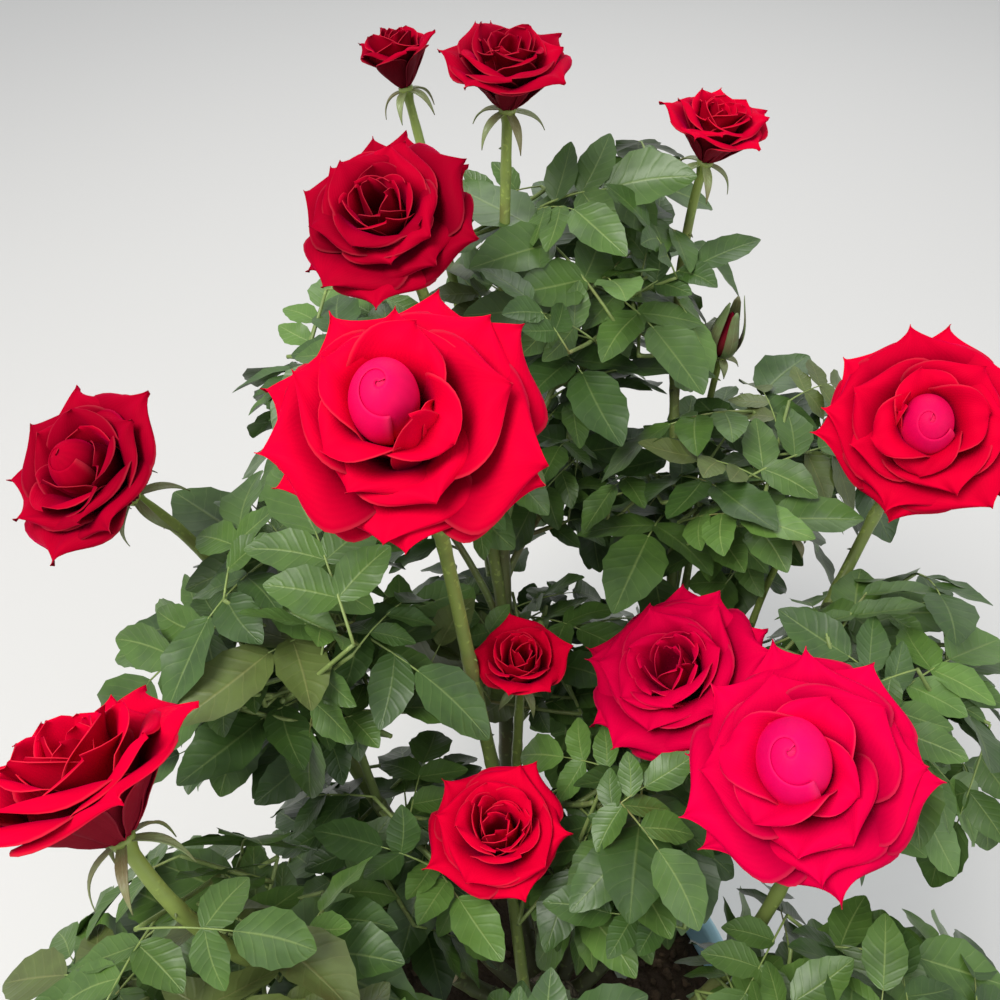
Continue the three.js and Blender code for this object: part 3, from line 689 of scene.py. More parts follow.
blooms = []
for number, at, face, width, opening, cane, fork, spin, pink in BLOOMS:
    face = unit(face)
    tall = width * (0.62 - 0.2 * opening)
    base = np.array(at) - face * tall * 0.55
    stem = flower_stem(cane, fork, width, opening, base - face * GAP, face)
    blooms.append(
        dict(number=number, middle=np.array(at, float), face=face, radius=width / 2, tall=tall, base=base,
             opening=opening, spin=math.radians(spin), pink=pink, stem=stem)
    )
buds = []
for name, at, face, width, cane, fork in BUDS:
    face = unit(face)
    stem = flower_stem(cane, fork, width, 0, np.array(at, float), face)
    body = np.array(at) + face * width * np.array([0.4, 0.9, 1.4, 1.9])[:, None]
    lines.append((body, np.full(4, width / 2)))
    buds.append(dict(name=name, at=np.array(at, float), face=face, width=width, stem=stem))


# Growth of the masses

def clear_of_lines(point, own, room):
    """Whether a point is further from every line but its own than that line's radius and the room."""
    others = [line for line in lines if line is not own]
    return all((np.linalg.norm(point - where, axis=1) >= radii + room).all() for where, radii in others)


def from_bloom(bloom, points):
    """How far each point lies along a bloom's axis, and how far from it."""
    away = points - bloom["middle"]
    along = away @ bloom["face"]
    return along, np.sqrt(np.maximum(0, np.sum(away * away, axis=1) - along**2))


def stalk_controls(base, way, length):
    """The control points of one stalk or many: it sets out in its way, arched a little, and sags."""
    bend = base + way * length * 0.5 + UP * length * LEAF["arch"]
    return base, bend, base + way * length - UP * length * LEAF["sag"]


class Mass:
    """One mass of foliage: it grows its stem, twigs and first leaves by the source's rule, and finer
    twigs and leaves after them."""

    def __init__(self, name, cane, fork, at, reach, seed):
        self.name, self.cane, self.fork, self.reach, self.seed = name, cane, fork, reach, seed
        self.middle = np.array(at, float)
        self.leaves = []
        self.taken = np.zeros((0, 3))

    def grow_stem(self):
        parent = canes[self.cane]
        along = parent["run"].way_at(self.fork)
        start = parent["run"].point_at(self.fork) + along * (GAP if self.fork == 1 else 0)
        spots = np.array([0.2, 0.3, 0.4, 0.5, 0.6, 0.7, 0.8, 0.9, 1])
        for k in range(60):
            turn = k * GOLDEN_TURN
            offset = np.array([math.cos(turn), math.sin(turn), 0]) * k * 1.2
            top = self.middle + offset + UP * self.reach * 0.34
            lean = unit(top - start)
            run = route(start, along + lean * 1.5, top, lean + UP * 0.6, 0.35)
            rooms = zip(run.point_at(spots), 6 + 2 * spots)
            if all(clear_of_lines(point, parent["line"], room) for point, room in rooms):
                break
        self.run = run
        self.line = note(lines, run, tapered(*STEM_RADII))

    def gather(self, masses):
        """Collects the other masses, the points of the lines that come near, and the blooms that come
        near with the sun's room over them."""
        self.others = [m for m in masses if m is not self]
        near = [line for line in lines if line is not self.line]
        points = np.concatenate([line[0] for line in near])
        radii = np.concatenate([line[1] for line in near])
        close = np.linalg.norm(points - self.middle, axis=1) < self.reach + radii + CLEAR + 5
        self.near_points, self.near_radii = points[close], radii[close]
        self.near_blooms = []
        for bloom in blooms:
            far = self.reach + bloom["radius"] + SUN["height"]
            if np.linalg.norm(bloom["middle"] - self.middle) < far:
                self.near_blooms.append(bloom)

    def tests(self, points):
        """The tests of the mass's own space, one after the other, each for all points: over the rim
        and within reach, on this side of the wall to each other mass, and outside each bloom's egg."""
        away = np.linalg.norm(points - self.middle, axis=1)
        yield (points[:, 2] >= POT["height"] + OVER_RIM) & (away <= self.reach)
        for other in self.others:
            apart = np.linalg.norm(self.middle - other.middle)
            yield (np.sum((points - other.middle) ** 2, axis=1) - away**2) / (2 * apart) >= WALL
        for bloom in self.near_blooms:
            along, flat = from_bloom(bloom, points)
            wide, high = bloom["radius"] + CLEAR, bloom["tall"] * EGG_SHARE + CLEAR
            yield (flat / wide) ** 2 + (along / high) ** 2 > 1

    def free(self, points):
        """Whether all points lie in the mass's own space and clear of limbs."""
        if not all(test.all() for test in self.tests(points)):
            return False
        away = np.linalg.norm(points[:, None] - self.near_points[None], axis=2)
        return (away >= self.near_radii[None] + CLEAR).all()

    def blade_free(self, blade):
        """Whether a leaflet lies free, by points along it and across it."""
        root, out, face, long, wide = blade
        side = np.cross(face, out)
        shares = np.array([0.12, 0.28, 0.44, 0.58, 0.72, 0.86, 1])
        halves = wide * 0.5 * np.minimum(shares / 0.44, (1 - shares) / 0.56)
        aside = halves[:, None] * np.array([-1, -0.5, 0, 0.5, 1])
        points = (root + out * (long * shares)[:, None])[:, None] + side * aside[..., None]
        return self.free(points.reshape(-1, 3))

    def leaf(self, start, way, size):
        """The source's compound leaf; None where too few of its leaflets find room."""
        stalk = Run(*stalk_controls(start, way, LEAF["stalk"] * size))
        blades = []

        def add(share, turn):
            along = stalk.way(share)
            face = unit(UP - along * (UP @ along))
            side = np.cross(face, along)
            out = unit(along * math.cos(turn) + side * math.sin(turn) - UP * 0.1)
            long = LEAFLET["length"] * size * (1.1 if turn == 0 else 0.68 + 0.25 * share)
            root = stalk.point(share)
            middle = root + out * long * 0.5
            apart = np.linalg.norm(self.taken - middle, axis=1)
            if (apart < GROWTH["crowd"]).any():
                return
            blade = (root, out, face, long, long * LEAFLET["slim"])
            if self.blade_free(blade):
                blades.append((blade, middle))

        add(1, 0)
        if not blades or not self.free(stalk.point(np.array([0.4, 0.7, 1]))):
            return None
        for share in LEAF["pairs"]:
            add(share, LEAF["turn"])
            add(share, -LEAF["turn"])
        if len(blades) < LEAF["fewest"]:
            return None
        self.taken = np.concatenate([self.taken, [middle for _, middle in blades]])
        return dict(stalk=stalk, blades=[blade for blade, _ in blades], size=size)

    def twigs_of(self, count, length, draw):
        """The source's twigs: they leave the stem in turn, outwards and a little up, where that is free."""
        for i in range(count):
            turn = i * GOLDEN_TURN + self.seed
            root = self.run.point_at(0.4 + 0.13 * i)
            out = unit([math.cos(turn), math.sin(turn), 0.3 + 0.5 * draw()])
            run = Run(root, root + out * 14 - UP * 3, root + out * length * (0.8 + 0.4 * draw()))
            if self.free(run.point(np.array([0.3, 0.65, 1]))):
                self.carriers.append(dict(run=run, start=0.45, last=0, thick=1.9, parent=None))

    def grow(self):
        """The source's twigs and leaves, then the finer ones. Each carrier is kept to its last leaf or
        fork."""
        draw = random_from(self.seed)
        self.carriers = [dict(run=self.run, start=0.35, last=1, parent=None)]
        self.twigs_of(GROWTH["twigs"], GROWTH["twig_length"], draw)
        self.fill(draw)
        self.open_cells()
        rng = np.random.default_rng(self.seed)
        self.finer_twigs(rng)
        self.finer_leaves(rng, FINER)
        self.finer_leaves(rng, SMALL)
        for carrier in reversed(self.carriers):
            if carrier["last"] and carrier["parent"]:
                carrier["parent"]["last"] = max(carrier["parent"]["last"], carrier["fork"])

    def fill(self, draw):
        """Tries leaves at golden angles from the stem and twigs in turn, until enough have found room."""
        kept = 0
        for i in range(GROWTH["tries"]):
            if kept >= GROWTH["most"]:
                break
            carrier = self.carriers[i % len(self.carriers)]
            share = 1 - (1 - carrier["start"]) * draw()
            base = carrier["run"].point_at(share)
            turn = i * GOLDEN_TURN + self.seed
            lift = -0.2 + 1.1 * draw()
            way = unit([math.cos(turn), math.sin(turn), lift])
            size = (1 - 0.4 * i / GROWTH["tries"]) * (0.82 + 0.25 * draw())
            made = self.leaf(base, way, size)
            if made is None:
                continue
            made["spray"] = i % len(self.carriers)
            self.leaves.append(made)
            carrier["last"] = max(carrier["last"], share)
            kept += 1

    def open_cells(self):
        """Notes which cells of the mass's space are open, so that the finer growth can look its points
        up: by the tests and limbs of free, and also by the sun's room over each bloom and the bays."""
        count = math.ceil(2 * self.reach / CELL)
        steps = (np.arange(count) + 0.5) * CELL - self.reach
        points = np.stack(np.meshgrid(steps, steps, steps, indexing="ij"), -1).reshape(-1, 3) + self.middle
        clear = np.ones(len(points), bool)
        for test in self.tests(points):
            clear &= test
        for bloom in self.near_blooms:
            along, flat = from_bloom(bloom, points)
            room = bloom["radius"] * SUN["start"] + along * SUN["spread"]
            clear &= (along < 0) | (along > SUN["height"]) | (flat > room)
        x, y, z = ((points - self.middle) / self.reach * BAYS["waves"] + self.seed).T
        bays = np.sin(x * 1.7 + y) + np.sin(y * 1.9 - z) + np.sin(z * 2.3)
        away = np.linalg.norm(points - self.middle, axis=1)
        clear &= away <= self.reach * (BAYS["mean"] + BAYS["swing"] * bays)
        self.cells = clear.reshape(count, count, count)
        near = np.stack(np.meshgrid(*[np.arange(-3, 4)] * 3, indexing="ij"), -1).reshape(-1, 3)
        spots = np.floor((self.near_points - self.middle + self.reach) / CELL).astype(int)[:, None] + near
        middles = (spots + 0.5) * CELL + self.middle - self.reach
        away = np.linalg.norm(middles - self.near_points[:, None], axis=2)
        inside = (away < self.near_radii[:, None] + CLEAR) & ((spots >= 0) & (spots < count)).all(axis=2)
        taken = spots[inside]
        self.cells[taken[:, 0], taken[:, 1], taken[:, 2]] = False

    def is_open(self, points):
        """Whether the cell of each point is open."""
        spots = np.floor((points - self.middle + self.reach) / CELL).astype(int)
        top = len(self.cells) - 1
        inside = ((spots >= 0) & (spots <= top)).all(axis=-1)
        spots = np.clip(spots, 0, top)
        return inside & self.cells[spots[..., 0], spots[..., 1], spots[..., 2]]

    def finer_twigs(self, rng):
        """Finer twigs, which leave the stem and the twigs before them sideways, up or down, and mostly
        away from the middle."""
        for _ in range(FINER["twigs"]):
            parent = self.carriers[rng.integers(len(self.carriers))]
            fork = rng.uniform(0.3, 1)
            root = parent["run"].point_at(fork)
            turn = rng.uniform(0, 2 * math.pi)
            out = unit([math.cos(turn), math.sin(turn), rng.uniform(-0.5, 0.8)])
            out = unit(out + unit(root - self.middle) * rng.uniform(-0.4, 0.9))
            length = FINER["twig_length"] * rng.uniform(0.5, 1.2)
            run = Run(root, root + out * 14 - UP * 3, root + out * length)
            if self.is_open(run.point(np.array([0.2, 0.4, 0.6, 0.8, 1]))).all():
                self.carriers.append(dict(run=run, start=0.4, last=0, thick=1.5, parent=parent, fork=fork))

    def finer_leaves(self, rng, plan):
        """Leaves at random places and turns on all twigs, the largest first. Of each, the leaflets that
        lie open and aren't crowded are kept, and the leaf is where the one at its tip and enough
        others are. A leaf rolls a little about its stalk, and its leaflets rise or droop."""
        tries = plan["tries"]
        whose = rng.integers(len(self.carriers), size=tries)
        base, ahead = np.zeros((tries, 3)), np.zeros((tries, 3))
        starts = np.array([carrier["start"] for carrier in self.carriers])[whose]
        shares = rng.uniform(starts, 1)
        for i, carrier in enumerate(self.carriers):
            own = whose == i
            base[own] = carrier["run"].point_at(shares[own])
            ahead[own] = carrier["run"].way_at(shares[own])
        turn = rng.uniform(0, 2 * math.pi, tries)
        way = np.stack([np.cos(turn), np.sin(turn), rng.normal(0.15, 0.45, tries)], -1)
        way = unit(way + unit(base - self.middle) * [1, 1, 0.3] * rng.uniform(-0.3, 0.8, (tries, 1)))
        limit = self.reach * (0.75 + 0.25 * rng.uniform(0, 1, tries) ** 1.2)
        size = np.linspace(plan["largest"], plan["smallest"], tries) * rng.uniform(0.85, 1.1, tries)
        length = LEAF["stalk"] * size[:, None] * rng.uniform(0.8, 1.05, (tries, 1))
        controls = np.stack(stalk_controls(base, way, length))
        roll = rng.normal(0, 0.42, (tries, 1))
        rise = rng.uniform(-0.4, 0.25, (tries, 1))

        def on_stalk(share):
            left = 1 - share
            return left**2 * controls[0] + 2 * share * left * controls[1] + share**2 * controls[2]

        stalk_open = np.all([self.is_open(on_stalk(share)) for share in (0.4, 0.7, 1)], axis=0)
        aside = LEAF["turn"]
        slots = [(1, 0)] + [(share, swing) for share in LEAF["finer_pairs"] for swing in (aside, -aside)]
        blades, opens = [], []
        for share, turn in slots:
            along = unit((1 - share) * (controls[1] - controls[0]) + share * (controls[2] - controls[1]))
            face = unit(UP - along * along[:, 2:])
            side = np.cross(face, along)
            face, side = face * np.cos(roll) + side * np.sin(roll), side * np.cos(roll) - face * np.sin(roll)
            out = unit(along * math.cos(turn) + side * math.sin(turn) + UP * rise)
            long = LEAFLET["length"] * size * (1.1 if turn == 0 else 0.66 + 0.22 * share)
            root = on_stalk(share)
            blades.append((root, out, face, long, long * LEAFLET["slim"]))
            tip = root + out * long[:, None]
            within = np.linalg.norm(tip - self.middle, axis=1) < limit
            within &= ((tip > LOW_CORNER) & (tip < HIGH_CORNER)).all(axis=1)
            opens.append(within & self.blades_open(blades[-1]))
        middles = np.stack([root + out * long[:, None] * 0.5 for root, out, _, long, _ in blades], 1)
        opens = np.stack(opens, 1)
        forward = np.sum(way * ahead, axis=1) > 0.1
        fits = forward & stalk_open & opens[:, 0] & (opens.sum(axis=1) >= plan["fewest"])
        kept = 0
        for i in np.flatnonzero(fits):
            apart = np.linalg.norm(middles[i][:, None] - self.taken[None], axis=2).min(axis=1)
            use = opens[i] & (apart >= plan["crowd"] * size[i])
            if not use[0] or use.sum() < plan["fewest"]:
                continue
            self.taken = np.concatenate([self.taken, middles[i][use]])
            own = [tuple(part[i] for part in blades[k]) for k in np.flatnonzero(use)]
            stalk = Run(*controls[:, i])
            self.leaves.append(dict(stalk=stalk, blades=own, size=size[i], spray=7 + whose[i]))
            carrier = self.carriers[whose[i]]
            carrier["last"] = max(carrier["last"], shares[i])
            kept += 1
            if kept == plan["most"]:
                break

    def blades_open(self, blades):
        """Whether each of many blades lies in open cells, by points spread over it."""
        root, out, face, long, wide = blades
        side = np.cross(face, out)
        open_all = np.ones(len(root), bool)
        for share in (0.12, 0.36, 0.58, 0.8, 1):
            half = wide * 0.5 * min(share / 0.44, (1 - share) / 0.56)
            for swing in (-1, 0, 1):
                spots = root + out * (long * share)[:, None] + side * (half * swing)[:, None]
                open_all &= self.is_open(spots)
        return open_all


masses = [Mass(*row) for row in MASSES]
for mass in masses:
    mass.grow_stem()
for mass in masses:
    mass.gather(masses)
    mass.grow()


# Pieces: foliage

def leaflet_sheets(blades, rng):
    """Leaflets as sheets. Across the blade runs u from -1 to 1 and along it v from 0 to 1; half the
    width is an oval that comes to a point, its margin stepped in and out for the teeth. The blade is
    folded up along its midrib, arched along its length, and waves a little at the margin."""
    roots, outs, faces, longs, wides = (np.array(x, float) for x in zip(*blades))
    outs = unit(outs)
    normals = unit(faces - outs * np.sum(faces * outs, axis=1, keepdims=True))
    sides = np.cross(normals, outs)
    long = longs[:, None, None]
    v = 0.5 - 0.5 * np.cos(np.pi * np.linspace(0, 1, LEAF_ROWS + 1)[:, None] ** 0.95)
    u = np.linspace(-1, 1, LEAF_COLUMNS + 1)
    oval = np.sin(np.pi * v**0.86) ** 0.66 * (1 - 0.2 * v**3)
    teeth = np.where(np.arange(LEAF_ROWS + 1) % 2 == 1, 1.04, 0.965)[:, None]
    spans = ((-1, 1), (0.08, 0.32), (0.02, 0.2), (0.02, 0.07), (0, 6.28), (-0.05, 0.05))
    breadth, fold, droop, wave, phase, lopsided = (rng.uniform(*span, (len(roots), 1, 1)) for span in spans)
    half = (wides * 0.5)[:, None, None] * oval * teeth * (1 + 0.08 * breadth)
    along = long * (v - 0.03 * np.abs(u) * (1 - v))
    across = half * u + long * lopsided * np.sin(np.pi * v)
    ripple = np.sin(v * 11 + phase + np.sign(u) * 1.3) * np.abs(u) ** 2
    rise = half * np.abs(u) * fold - long * droop * v**2 + long * wave * ripple * np.sin(np.pi * v) * 0.6
    grid = (
        roots[:, None, None]
        + outs[:, None, None] * along[..., None]
        + sides[:, None, None] * across[..., None]
        + normals[:, None, None] * rise[..., None]
    )
    return grid, np.stack(np.broadcast_arrays(u * 0.5 + 0.5, v), -1)


LEAF_MATERIALS = [
    leaf_look("leaf_mid", (0.072, 0.142, 0.024), (0.23, 0.31, 0.09), (0.030, 0.066, 0.013)),
    leaf_look("leaf_deep", (0.048, 0.102, 0.018), (0.17, 0.24, 0.07), (0.018, 0.042, 0.010)),
    leaf_look("leaf_light", (0.108, 0.205, 0.038), (0.28, 0.37, 0.11), (0.052, 0.112, 0.020)),
    leaf_look("leaf_olive", (0.100, 0.140, 0.034), (0.22, 0.23, 0.08), (0.056, 0.068, 0.018)),
]
# Which leaf colour each spray takes, in turn: mostly mid and deep green, a few light, seldom olive
SPRAY_COLOURS = [0, 1, 0, 2, 0, 1, 2, 0, 1, 0, 0, 2, 1, 0, 3, 0, 2, 1]
STEM_BLUSH = (0.17, 0.075, 0.035)
TWIG = stem_look("twig_bark", (0.20, 0.27, 0.075), (0.09, 0.13, 0.045), STEM_BLUSH)
CANE = stem_look("cane_bark", (0.13, 0.17, 0.055), (0.060, 0.060, 0.028), (0.13, 0.085, 0.045))
FLOWER_STEM = stem_look("flower_stem_bark", (0.23, 0.30, 0.065), (0.075, 0.105, 0.036), STEM_BLUSH)
SEPAL = leaf_look("sepal_green", (0.20, 0.26, 0.10), (0.30, 0.34, 0.16), (0.17, 0.10, 0.05))
BARK = bark_look()
CUT = pith_look()


def make_foliage(mass):
    """The leaves of a mass in one piece, and its stem, twigs and stalks in another."""
    rng = np.random.default_rng(mass.seed)
    leaves = Pile()
    for leaf in mass.leaves:
        grid, places = leaflet_sheets(leaf["blades"], rng)
        colour = SPRAY_COLOURS[(leaf["spray"] * 5 + mass.seed) % len(SPRAY_COLOURS)]
        leaves.add(grid, places=places, kind=colour, tone=rng.uniform(0, 0.8, len(grid)))
    leaves.piece(mass.name + "_leaves", LEAF_MATERIALS, "leaves", [mass.name])
    twigs = Pile()
    stem = mass.run.point_at(np.linspace(0, 1, 19))
    twigs.add(tube(stem, np.linspace(*STEM_RADII, 19), 9), wrap=True, tone=0.4)
    for carrier in mass.carriers[1:]:
        if carrier["last"]:
            points = carrier["run"].point_at(np.linspace(0, carrier["last"], 9))
            twigs.add(tube(points, np.linspace(carrier["thick"], TWIG_TIP, 9), 7), wrap=True, tone=0.2)
    stalks = np.array([leaf["stalk"].point(np.linspace(0, 1, 8)) for leaf in mass.leaves])
    sizes = np.array([leaf["size"] for leaf in mass.leaves])
    radii = np.linspace(*STALK_RADII, 8) * sizes[:, None]
    twigs.add(tubes(stalks, radii[..., None], 5), wrap=True)
    twigs.piece(mass.name + "_twigs", [TWIG], "leaves")


for mass in masses:
    make_foliage(mass)


# Pieces: canes, flower stems and sepals

def bark_relief(rng, ridge, length):
    """Low ridges that wind along the stem, and a short swelling at each node."""
    phases = rng.uniform(0, 6.28, 6)
    nodes = rng.uniform(0.05, 0.95, max(3, int(length / 42)))

    def relief(share, turn):
        made = ridge * np.sin(turn * 3 + phases[0] + share * 4) * np.sin(share * 31 + phases[1])
        made = made + ridge * 0.7 * np.sin(turn * 5 + phases[2] - share * 7) * np.sin(share * 53 + phases[3])
        for node in nodes:
            made = made + 0.12 * np.exp(-(((share - node) * length / 3.2) ** 2))
        return made

    return relief


def thorn(base, out, along, size):
    """A thorn: a flat-based cone that hooks back towards the root."""
    shares = np.linspace(0, 1, 5)[:, None]
    hook = -along * size * 0.35 * shares**2
    points = base + out * size * shares + hook
    widths = size * 0.36 * (1 - shares[:, 0]) ** 0.8 + 0.06
    return tube(points, widths, 6)


def add_thorns(pile, run, radius_at, rng, spacing, size):
    """Thorns at uneven steps along a run, each on the outside of the bark."""
    length = run.lengths[-1]
    place = spacing * rng.uniform(0.4, 1)
    while place < length * 0.93:
        share = place / length
        along = run.way_at(share)
        turn = rng.uniform(0, 6.28)
        first, second = level_axes(along)
        out = first * math.cos(turn) + second * math.sin(turn)
        base = run.point_at(share) + out * float(radius_at(share)) * 0.8
        pile.add(thorn(base, out, along, size * rng.uniform(0.7, 1.2)), wrap=True, tone=0.9)
        place += spacing * rng.uniform(0.6, 1.5)


def aged_bark(pile, run, radius_at, shares, rng, sides, ridge, oldest, youngest):
    """A stem in relief, with its tone falling from the oldest wood at its foot to the youngest."""
    relief = bark_relief(rng, ridge, run.lengths[-1])
    grid = tube(run.point_at(shares), radius_at(shares), sides, relief)
    age = np.linspace(oldest, youngest, len(grid))[:, None]
    pile.add(grid, wrap=True, tone=np.broadcast_to(age, (1, len(grid), sides)))


def pruning_cut(run, radius):
    """A slightly domed disc over the end of a cut cane, with an edge that turns down round it."""
    end, way = run.point_at(1), run.way_at(1)
    first, second = level_axes(way)
    turns = circle(24)[:, None]
    around = first * np.cos(turns) + second * np.sin(turns)
    rings = [end + way * (0.9 - 0.3 * (k / 6) ** 2) + around * radius * k / 6 for k in range(7)]
    return np.stack(rings + [end - way * 1.5 + around * radius * 0.94])


def make_canes(rng):
    """All canes in one piece, and the cuts of the two stubs in another."""
    pile, cuts = Pile(), Pile()
    for name, cane in canes.items():
        run, radius_at = cane["run"], cane["radius_at"]
        shares = np.linspace(0, 1, max(12, int(run.lengths[-1] / 4)))
        aged_bark(pile, run, radius_at, shares, rng, sides=16, ridge=0.022, oldest=1, youngest=0.25)
        add_thorns(pile, run, radius_at, rng, **CANE_THORNS)
        if "stub" in name:
            cuts.add(pruning_cut(run, float(radius_at(1)) * 0.97), wrap=True)
    pile.piece("canes", [CANE], "cane", list(canes))
    cuts.piece("pruning_cuts", [CUT], "cane")


def stem_radius(stem):
    """Slim along the stem, then a smooth swelling at its end, the hip under the bloom."""
    length = stem["run"].lengths[-1]

    def radius_at(share):
        share = np.asarray(share, float)
        left = (1 - share) * length
        swell = np.clip(1 - left / HIP_LENGTH, 0, 1)
        smooth = swell * swell * (3 - 2 * swell)
        return stem["slim"] + (1 - share) * FLOWER["taper"] + (stem["hip"] - stem["slim"]) * smooth

    return radius_at


def sepal_sheet(root, way, long, face, rng):
    """A sepal: a narrow leaf that widens near its root and runs out to a thin tip; it arches away
    from the bloom and curls back along its length."""
    v = np.linspace(0, 1, 12)[:, None]
    u = np.linspace(-1, 1, 5)[None, :]
    half = 3.6 * np.sin(np.pi * (v * 0.86 + 0.14)) ** 0.8 * (1 - v) ** 0.35 + 0.15
    side = np.cross(way, face)
    normal = unit(np.cross(side, way))
    curl = rng.uniform(0.15, 0.5)
    arch = np.sin(v * 2.2) * 0.16 - curl * v**2.4
    rise = long * arch + half * 0.35 * u**2
    sway = long * rng.uniform(-0.12, 0.12) * v**2
    return (
        root
        + way * (long * v * (1 - 0.1 * v))[..., None]
        + side * (half * u + sway)[..., None]
        + normal * rise[..., None]
    )


def make_flower_stems(rng):
    """The stems of all blooms and buds in one piece, and their sepals in another."""
    pile, sepals = Pile(), Pile()
    nodes = [f"flower_stem_{bloom['number']}" for bloom in blooms]
    for flower in blooms + buds:
        stem = flower["stem"]
        run, radius_at = stem["run"], stem_radius(stem)
        steps = max(16, int(run.lengths[-1] / 5))
        shares = np.concatenate([np.linspace(0, 0.93, steps), np.linspace(0.94, 1, 8)])
        aged_bark(pile, run, radius_at, shares, rng, sides=12, ridge=0.012, oldest=0.7, youngest=0)
        add_thorns(pile, run, radius_at, rng, **FLOWER_THORNS)
        for root, way, long in stem["sepals"]:
            sepals.add(sepal_sheet(root, way, long, stem["face"], rng), tone=rng.uniform(0, 0.5))
    pile.piece("flower_stems", [FLOWER_STEM], "stem", nodes)
    thicken(sepals.piece("sepals", [SEPAL], "stem"), SEPAL_THICK, 0)


bark_rng = np.random.default_rng(7)
make_canes(bark_rng)
make_flower_stems(bark_rng)


# Pieces: blooms

class Ring:
    """One ring of petals. Its tips lie at out from the axis and up from the foot, and a petal is half
    wide either side, all in shares of the bloom's radius. Start and end are the midline's lifts in
    degrees from level, bend how far it follows the circle round the axis, roll how far its margins
    turn back in degrees, hollow how far they run in to the tip, and snug how close the petal rises
    round the heart before it turns out."""

    def __init__(self, count, out, up, start, end, half, bend, roll, hollow, snug=0.0):
        self.count, self.out, self.up, self.start, self.end = count, out, up, start, end
        self.half, self.bend, self.roll, self.hollow, self.snug = half, bend, roll, hollow, snug


def full_rings(balled):
    """An open bloom: a low cup close round the ball, or a spiral of small upright petals where there
    is none, then rings that lie ever flatter and bend back."""
    inner = [Ring(4, 0.60, 0.74, 8, -26, 0.46, 1.0, 30, 0.7, 1.0)]
    if not balled:
        inner = [
            Ring(3, 0.15, 0.84, 50, 88, 0.24, 1.0, 10, 0.5),
            Ring(3, 0.25, 0.86, 55, 78, 0.34, 1.0, 25, 0.5),
            Ring(4, 0.38, 0.84, 50, 62, 0.40, 0.9, 40, 0.7),
            Ring(4, 0.62, 0.80, 36, 10, 0.54, 0.8, 60, 1.0, 0.3),
        ]
    return inner + [
        Ring(5, 0.83, 0.66, 14, -18, 0.60, 0.75, 65, 1.2, 0.6),
        Ring(5, 1.05, 0.52, 18, -24, 0.66, 0.45, 85, 1.5, 0.2),
        Ring(6, 1.11, 0.38, 12, -30, 0.60, 0.3, 90, 1.6),
    ]


def half_rings(balled):
    """A half-open bloom: petals close round the ball, or a spiral of small ones where there is none,
    then an upright cup with its tips bent out."""
    inner = [Ring(3, 0.34, 0.98, 50, 80, 0.50, 1.0, 25, 0.5)]
    if not balled:
        inner = [
            Ring(3, 0.14, 1.04, 60, 90, 0.26, 1.0, 10, 0.5),
            Ring(3, 0.26, 1.08, 60, 82, 0.38, 1.0, 25, 0.5),
            Ring(4, 0.38, 1.06, 58, 70, 0.44, 1.0, 40, 0.6),
        ]
    return inner + [
        Ring(4, 0.54, 1.04, 50, 40, 0.56, 0.9, 60, 0.8),
        Ring(4, 0.82, 0.94, 46, 4, 0.66, 0.75, 85, 1.3),
        Ring(5, 1.06, 0.76, 44, -18, 0.68, 0.55, 85, 1.8),
    ]


def tight_rings():
    """A bloom that has just begun to open: petals close round the bud, the outer ones turned out."""
    return [
        Ring(3, 0.14, 1.22, 64, 92, 0.30, 1.0, 10, 0.5),
        Ring(3, 0.26, 1.24, 60, 86, 0.42, 1.0, 15, 0.5),
        Ring(3, 0.40, 1.20, 56, 80, 0.56, 1.0, 30, 0.5),
        Ring(3, 0.58, 1.18, 56, 56, 0.64, 1.0, 55, 0.8),
        Ring(5, 0.96, 0.96, 46, -10, 0.66, 0.6, 95, 1.3),
    ]


